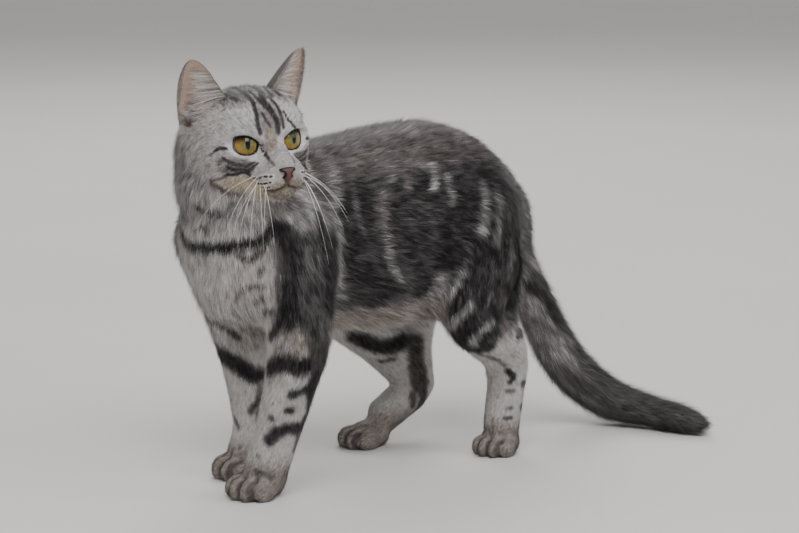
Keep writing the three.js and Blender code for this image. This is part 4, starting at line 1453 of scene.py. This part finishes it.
def nose_colours(q, look):
    """Brick red, darker at the rim, and near black in the nostrils as painted shade."""
    folded = fold(q)
    rim = np.maximum(ramp(q[:, 0], 53.2, 51.0), ramp(q[:, 2], -17.4, -16.2))
    rim = np.maximum(rim, ramp(folded[:, 1], 2.6, 4.2))
    # The nostrils are painted near black, as shade inside them.
    dark = np.maximum(rim * 0.85, ramp(nostril_distance(folded), 1.8, 0.8))
    return mix(np.array(look.nose_red), np.array([0.005, 0.004, 0.004]), dark[:, None])


def tube(path, thick, sides=6):
    """A tapered tube along a path, open at its two ends."""
    ahead = unit(np.gradient(path, axis=0))
    side = unit(np.cross(ahead, [0.3, 0.5, 0.81]))
    other = np.cross(ahead, side)
    turn = np.arange(sides) / sides * 2 * math.pi
    ring = side[:, None] * np.cos(turn)[None, :, None] + other[:, None] * np.sin(turn)[None, :, None]
    points = (path[:, None] + ring * thick[:, None, None] / 2).reshape(-1, 3)
    i = np.arange(sides)
    after = (i + 1) % sides
    faces = []
    for level in range(len(path) - 1):
        a, b = level * sides + i, level * sides + after
        faces += [np.column_stack([a, b, b + sides]), np.column_stack([a, b + sides, a + sides])]
    return points, np.vstack(faces)


# Whiskers in the head's frame, on its right side and its left: root, then how far the tip lies
# from it. The last of each are the longest.
WHISKERS = {
    -1: [
        ((38, 16, -26), (5, 20, -42)), ((37, 16, -25), (8, 13, -55)), ((40, 15.5, -27), (14, 6, -47)),
        ((44, 14, -28), (20, 3, -36)), ((36, 16, -22), (-30, 36, -36)), ((36, 15.5, -28), (2, 22, -34)),
        ((46, 12.5, -25), (12, 9, -30)), ((40, 16, -22), (-4, 28, -44)),
    ],
    1: [
        ((40, 15, -26), (10, 11, -60)), ((42, 15, -24), (12, 22, -40)), ((44, 14, -22), (15, 23, -27)),
        ((38, 16, -27), (6, 16, -50)), ((40, 16, -23), (8, 27, -36)), ((46, 12.5, -25), (14, 9, -32)),
        ((36, 16, -25), (4, 30, -30)),
    ],
}
BROW_WHISKERS = [((26, 13, 10), (4, 10, 20)), ((25, 16, 9), (2, 15, 17)), ((26, 11, 11), (6, 5, 19))]


def whisker_paths():
    """Each whisker's path, curving out from its root and drooping, and its thickness."""
    t = np.linspace(0, 1, 15)[:, None]
    for side in (-1, 1):
        for start, reach in WHISKERS[side] + BROW_WHISKERS:
            start, reach = np.array(start, float), np.array(reach, float)
            sag = start + reach * [0.7, 0.62, 0.3]
            path = start * (1 - t) ** 2 + sag * 2 * t * (1 - t) + (start + reach) * t * t
            thick = 0.32 if start[2] < 0 else 0.2
            yield from_head(path * [1, side, 1]), thick * (1 - 0.8 * t[:, 0])


# ---------------------------------------------------------------- the add-on

FLESH = [
    "head", "ear_left", "ear_right", "neck", "trunk", "foreleg_left", "foreleg_right", "hindleg_left",
    "hindleg_right", "forepaw_left", "forepaw_right", "hindfoot_left", "hindfoot_right", "tail_base",
    "tail_middle", "tail_tip",
]
MADE = {}  # what one operator leaves for the next


def colour_property(name, description, default):
    """A colour that the panel shows."""
    return bpy.props.FloatVectorProperty(
        name=name, description=description, default=default, subtype="COLOR", size=3, min=0, max=1
    )


class CatCoatSettings(bpy.types.PropertyGroup):
    """Sizes and colours of the skin and the coat."""

    charcoal: colour_property("Charcoal", "Darkest hair", (0.0065, 0.006, 0.0063))
    slate: colour_property("Slate", "Hair between the darkest and the palest", (0.154, 0.142, 0.146))
    silver: colour_property("Silver", "Palest hair", (0.68, 0.67, 0.655))
    ear_skin: colour_property("Ear skin", "Thin skin inside the ears", (0.56, 0.41, 0.34))
    # The darkest ear colour, painted as shade in the ears' hollows and deep in their cups.
    ear_recess_shade: colour_property("Ear depth", "Skin deep inside the ears", (0.11, 0.05, 0.04))
    skin_step: bpy.props.FloatProperty(
        name="Skin step", description="Size of the skin's faces on the body", default=0.0025,
        min=0.001, unit="LENGTH",
    )
    hair_length: bpy.props.FloatProperty(
        name="Hair length", description="Length of the hair on the flanks", default=FLANK_HAIR,
        min=0.002, unit="LENGTH",
    )
    hair_count: bpy.props.FloatProperty(
        name="Hair count", description="How many hairs, as a share of the full coat", default=1.0,
        min=0.01, subtype="FACTOR",
    )


class CatFaceSettings(bpy.types.PropertyGroup):
    """Colours of the eyes, the nose and the whiskers."""

    iris_gold: colour_property("Iris gold", "Outer part of the iris", (0.36, 0.21, 0.035))
    iris_green: colour_property("Iris green", "Iris near the pupil", (0.16, 0.17, 0.06))
    nose_red: colour_property("Nose", "Middle of the nose leather", (0.1, 0.046, 0.04))
    whisker: colour_property("Whisker", "Whiskers of the lips and brows", (0.8, 0.79, 0.76))


class CatStageSettings(bpy.types.PropertyGroup):
    """The studio's light."""

    lamps: bpy.props.FloatProperty(
        name="Lamps", description="Power of the three lamps, as a share of the usual", default=1.0,
        min=0, subtype="FACTOR",
    )
    room: bpy.props.FloatProperty(
        name="Room", description="Strength of the light from all round", default=0.55, min=0,
    )


class CAT_OT_skin(bpy.types.Operator):
    """One seamless skin over the whole body, with the ears"""

    bl_idname = "cat.skin"
    bl_label = "Skin"

    def execute(self, context):
        cat_skin = build_skin(context.scene.cat_coat)
        piece = new_object("skin", cat_skin["points"], cat_skin["faces"], skin_material("skin"))
        set_colours(piece.data, "coat", cat_skin["colour"])
        cat_skin["map"] = unwrap(piece)
        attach(piece, "root")
        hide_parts(*FLESH)
        MADE["skin"] = cat_skin
        return {"FINISHED"}


def hair_style(density, lock, tuft, mottle, lift, curl, joints):
    """How dense the hair is, the sizes of its locks and tufts, how much the tufts vary in tone, how
    far the hairs stand out and bend back (radians), and in how many steps they bend."""
    return {
        "density": density, "lock": lock, "tuft": tuft, "mottle": mottle, "lift": lift, "curl": curl,
        "joints": joints,
    }


BODY_STYLE = hair_style(3.7, 8, 2.6, 0.155, 0.4, 0.24, 2)
TAIL_STYLE = hair_style(3.7, 8, 2.6, 0.14, 0.5, 0.3, 2)
SHORT_STYLE = hair_style(4.0, 6, 1.6, 0.13, 0.32, 0.0, 1)
FACE_STYLE = hair_style(4.0, 4, 1.3, 0.19, 0.28, 0.0, 1)
EAR_STYLE = hair_style(3.0, 4, 1.3, 0.08, 0.2, 0.0, 1)
INNER_EAR_STYLE = hair_style(1.0, 5, 2.4, 0.16, 0.4, 0.24, 3)
FACE_START = -8  # ahead of this on the head is the face, behind it the nape
LEG_TOP = 88  # below this, and ahead of the tail, are the legs
MIDDLE_Y = -20  # between the forelegs and the hind legs
BODY_ZONES = {  # from and to, along the body
    "coat_neck": (-FAR, -85),
    "coat_shoulders": (-85, -28),
    "coat_ribs": (-28, 34),
    "coat_loins": (34, 92),
    "coat_rump": (92, 168),
    "coat_tail": (168, FAR),
}
COAT_SEED, EAR_HAIR_SEED = 100, 130
PALE_HAIR = (0.92, 0.4)  # tone and warmth of the hair inside the ears


def coat_zones(cat_skin):
    """The skin's triangles by zone: name -> (triangles, style)."""
    middle = cat_skin["points"][cat_skin["faces"]].mean(1)
    q = to_head(middle)
    y, z = middle[:, 1], middle[:, 2]
    ear = cat_skin["side"][cat_skin["faces"][:, 0]] != 0
    head = (on_head(middle) > 0.5) & ~ear
    face = head & (q[:, 0] > FACE_START)
    legs = (z < LEG_TOP) & (y < BODY_ZONES["coat_tail"][0]) & ~ear
    body = ~(ear | head | legs)
    zones = {
        "coat_ears": (ear, EAR_STYLE),
        "coat_face_right": (face & (q[:, 1] < 0), FACE_STYLE),
        "coat_face_left": (face & (q[:, 1] >= 0), FACE_STYLE),
        "coat_nape": (head & ~face, BODY_STYLE),
        "coat_forelegs": (legs & (y < MIDDLE_Y), SHORT_STYLE),
        "coat_hindlegs": (legs & (y >= MIDDLE_Y), SHORT_STYLE),
    }
    for name, (start, end) in BODY_ZONES.items():
        style = TAIL_STYLE if name == "coat_tail" else BODY_STYLE
        zones[name] = (body & (y >= start) & (y < end), style)
    return {name: (np.flatnonzero(inside), style) for name, (inside, style) in zones.items()}


def inner_ear_hair(cat_skin, edge):
    """The skin with long pale hair in its ears, from the inner edge or from the root."""
    s, h, depth = cat_skin["shape"].T
    side = cat_skin["side"]
    turn = np.radians(np.where(side > 0, EARS[1][1], EARS[-1][1]))
    still = np.zeros(len(side))
    outwards = np.column_stack([-np.sin(turn), side * np.cos(turn), still]) @ HEAD_AXES
    facing = np.column_stack([np.cos(turn), side * np.sin(turn), still]) @ HEAD_AXES
    inside = ramp(depth, 0.5, 0.7) * (side != 0)
    if edge:
        density = inside * ramp(s, 0.2, -0.5) * ramp(h, 0.88, 0.7) * ramp(h, 0.1, 0.25) * 1.2
        way = outwards + HEAD_AXES[2] * mix(-0.8, 0.4, h)[:, None]
        tall = mix(36.0, 8.0, h)
    else:
        density = inside * ramp(h, 0.16, 0.04) * ramp(h, -0.1, 0.0) * 1.2
        way = HEAD_AXES[2] + outwards * (0.6 * s)[:, None]
        tall = np.full(len(h), 10.0)
    way = unit(way - (way * facing).sum(1)[:, None] * facing)
    return {**cat_skin, "normals": facing, "way": way, "tall": tall, "density": density}


class CAT_OT_coat(bpy.types.Operator):
    """The hair, in pieces by zone of the body"""

    bl_idname = "cat.coat"
    bl_label = "Coat"

    def execute(self, context):
        if "skin" not in MADE:
            raise RuntimeError("make the skin before its coat")
        cat_skin, look = MADE["skin"], context.scene.cat_coat
        material = hair_material("hair", 0.5)
        share = look.hair_count * 1
        for number, (name, (chosen, style)) in enumerate(coat_zones(cat_skin).items()):
            style = {**style, "density": style["density"] * share}
            tones = (cat_skin["tone"], cat_skin["warm"]) if name == "coat_ears" else None
            seed = COAT_SEED + number
            piece = grow(name, cat_skin, chosen, material, look, style, seed, tones)
        ears = np.flatnonzero(cat_skin["side"][cat_skin["faces"][:, 0]] != 0)
        pale = [np.full(len(cat_skin["points"]), value) for value in PALE_HAIR]
        for number, (name, edge) in enumerate([("ear_edge_hair", True), ("ear_root_hair", False)]):
            hairy = inner_ear_hair(cat_skin, edge)
            seed = EAR_HAIR_SEED + number
            piece = grow(name, hairy, ears, material, look, INNER_EAR_STYLE, seed, pale)
        return {"FINISHED"}


NOSE_BOX = ((42, -10, -30), (60, 10, -12))  # in the head's frame
NOSE_STEP = 0.45


class CAT_OT_face(bpy.types.Operator):
    """Eyes and nose"""

    bl_idname = "cat.face"
    bl_label = "Eyes and nose"

    def execute(self, context):
        look = context.scene.cat_face
        material = eye_material("eye")
        for side, name in ((1, "left"), (-1, "right")):
            points, faces, across = eyeball(side)
            eye = new_object(f"eyeball_{name}", points, faces, material)
            set_colours(eye.data, "gaze", eye_colours(across, look))
            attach(eye, "root")
            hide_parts(f"eye_{name}")
        points, quads = mesh_field(nose_field, *NOSE_BOX, NOSE_STEP)
        points = settle(nose_field, points, 2)
        triangles = np.vstack([quads[:, :3], quads[:, [0, 2, 3]]])
        nose = new_object("nose_leather", from_head(points), triangles, leather_material("nose leather"))
        set_colours(nose.data, "coat", nose_colours(points, look))
        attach(nose, "root")
        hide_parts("nose")
        return {"FINISHED"}


class CAT_OT_whiskers(bpy.types.Operator):
    """Whiskers of the lips and brows"""

    bl_idname = "cat.whiskers"
    bl_label = "Whiskers"

    def execute(self, context):
        points, faces, count = [], [], 0
        for path, thick in whisker_paths():
            tube_points, tube_faces = tube(path, thick)
            points.append(tube_points)
            faces.append(tube_faces + count)
            count += len(tube_points)
        material = whisker_material("whisker")
        piece = new_object("whiskers", np.vstack(points), np.vstack(faces), material)
        colour = np.array(context.scene.cat_face.whisker)
        set_colours(piece.data, "coat", np.tile(colour, (count, 1)))
        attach(piece, "root")
        return {"FINISHED"}


CAMERA_AT = (1.7055, -1.6936, 0.5211)
CAMERA_TARGET = (-0.0604, 0.0323, 0.130)
CAMERA_LENS, SENSOR_WIDTH = 152.07, 36  # both in millimetres
LAMP_TARGET = (0, 0, 0.12)
ROOM_COLOUR = (1.0, 0.975, 0.95, 1)
FLOOR_HALF = 6000.0
LAMPS = [
    # name, place in metres, power in watts, size in metres
    ("key", (1.3, -1.3, 2.2), 62, 1.6),
    ("fill", (2.0, 0.9, 1.3), 22, 1.6),
    ("back", (-1.6, 1.4, 1.8), 30, 1.4),
]


def aim(made, target):
    """Turns a camera or lamp towards a target."""
    away = Vector(target) - made.location
    made.rotation_euler = away.to_track_quat("-Z", "Y").to_euler()


class CAT_OT_stage(bpy.types.Operator):
    """Floor, camera and soft studio light"""

    bl_idname = "cat.stage"
    bl_label = "Stage"

    def execute(self, context):
        scene = context.scene
        corners = np.array([(-1, -1, 0), (1, -1, 0), (1, 1, 0), (-1, 1, 0)]) * FLOOR_HALF
        floor = new_object("floor", corners, [[0, 1, 2, 3]], floor_material("floor"))
        camera = bpy.data.objects.new("camera", bpy.data.cameras.new("camera"))
        camera.data.lens, camera.data.sensor_width = CAMERA_LENS, SENSOR_WIDTH
        camera.data.clip_end = 30
        camera.location = CAMERA_AT
        scene.collection.objects.link(camera)
        aim(camera, CAMERA_TARGET)
        scene.camera = camera
        for name, place, power, size in LAMPS:
            lamp = bpy.data.objects.new(name, bpy.data.lights.new(name, "AREA"))
            lamp.data.energy, lamp.data.size = power * scene.cat_stage.lamps, size
            lamp.location = place
            scene.collection.objects.link(lamp)
            aim(lamp, LAMP_TARGET)
        world = bpy.data.worlds.new("studio")
        world.use_nodes = True
        light = world.node_tree.nodes["Background"]
        light.inputs["Color"].default_value = ROOM_COLOUR
        light.inputs["Strength"].default_value = scene.cat_stage.room
        scene.world = world
        return {"FINISHED"}


class CAT_PT_panel(bpy.types.Panel):
    """The cat's controls"""

    bl_label = "Cat"
    bl_space_type = "VIEW_3D"
    bl_region_type = "UI"
    bl_category = "Cat"

    def draw(self, context):
        for place, settings in SETTINGS.items():
            for name in settings.__annotations__:
                self.layout.prop(getattr(context.scene, place), name)
        for operator in OPERATORS:
            self.layout.operator(operator.bl_idname)


SETTINGS = {
    "cat_coat": CatCoatSettings,
    "cat_face": CatFaceSettings,
    "cat_stage": CatStageSettings,
}
OPERATORS = (CAT_OT_skin, CAT_OT_coat, CAT_OT_face, CAT_OT_whiskers, CAT_OT_stage)
CLASSES = (*SETTINGS.values(), *OPERATORS, CAT_PT_panel)


def register():
    """Adds the settings, operators and panel."""
    for each in CLASSES:
        bpy.utils.register_class(each)
    for place, settings in SETTINGS.items():
        setattr(bpy.types.Scene, place, bpy.props.PointerProperty(type=settings))


def unregister():
    """Takes them away again."""
    for place in SETTINGS:
        delattr(bpy.types.Scene, place)
    for each in reversed(CLASSES):
        bpy.utils.unregister_class(each)


def main():
    """Makes the whole cat and its stage."""
    register()
    bpy.ops.cat.skin()
    bpy.ops.cat.coat()
    bpy.ops.cat.face()
    bpy.ops.cat.whiskers()
    bpy.ops.cat.stage()


if __name__ == "__main__":
    main()
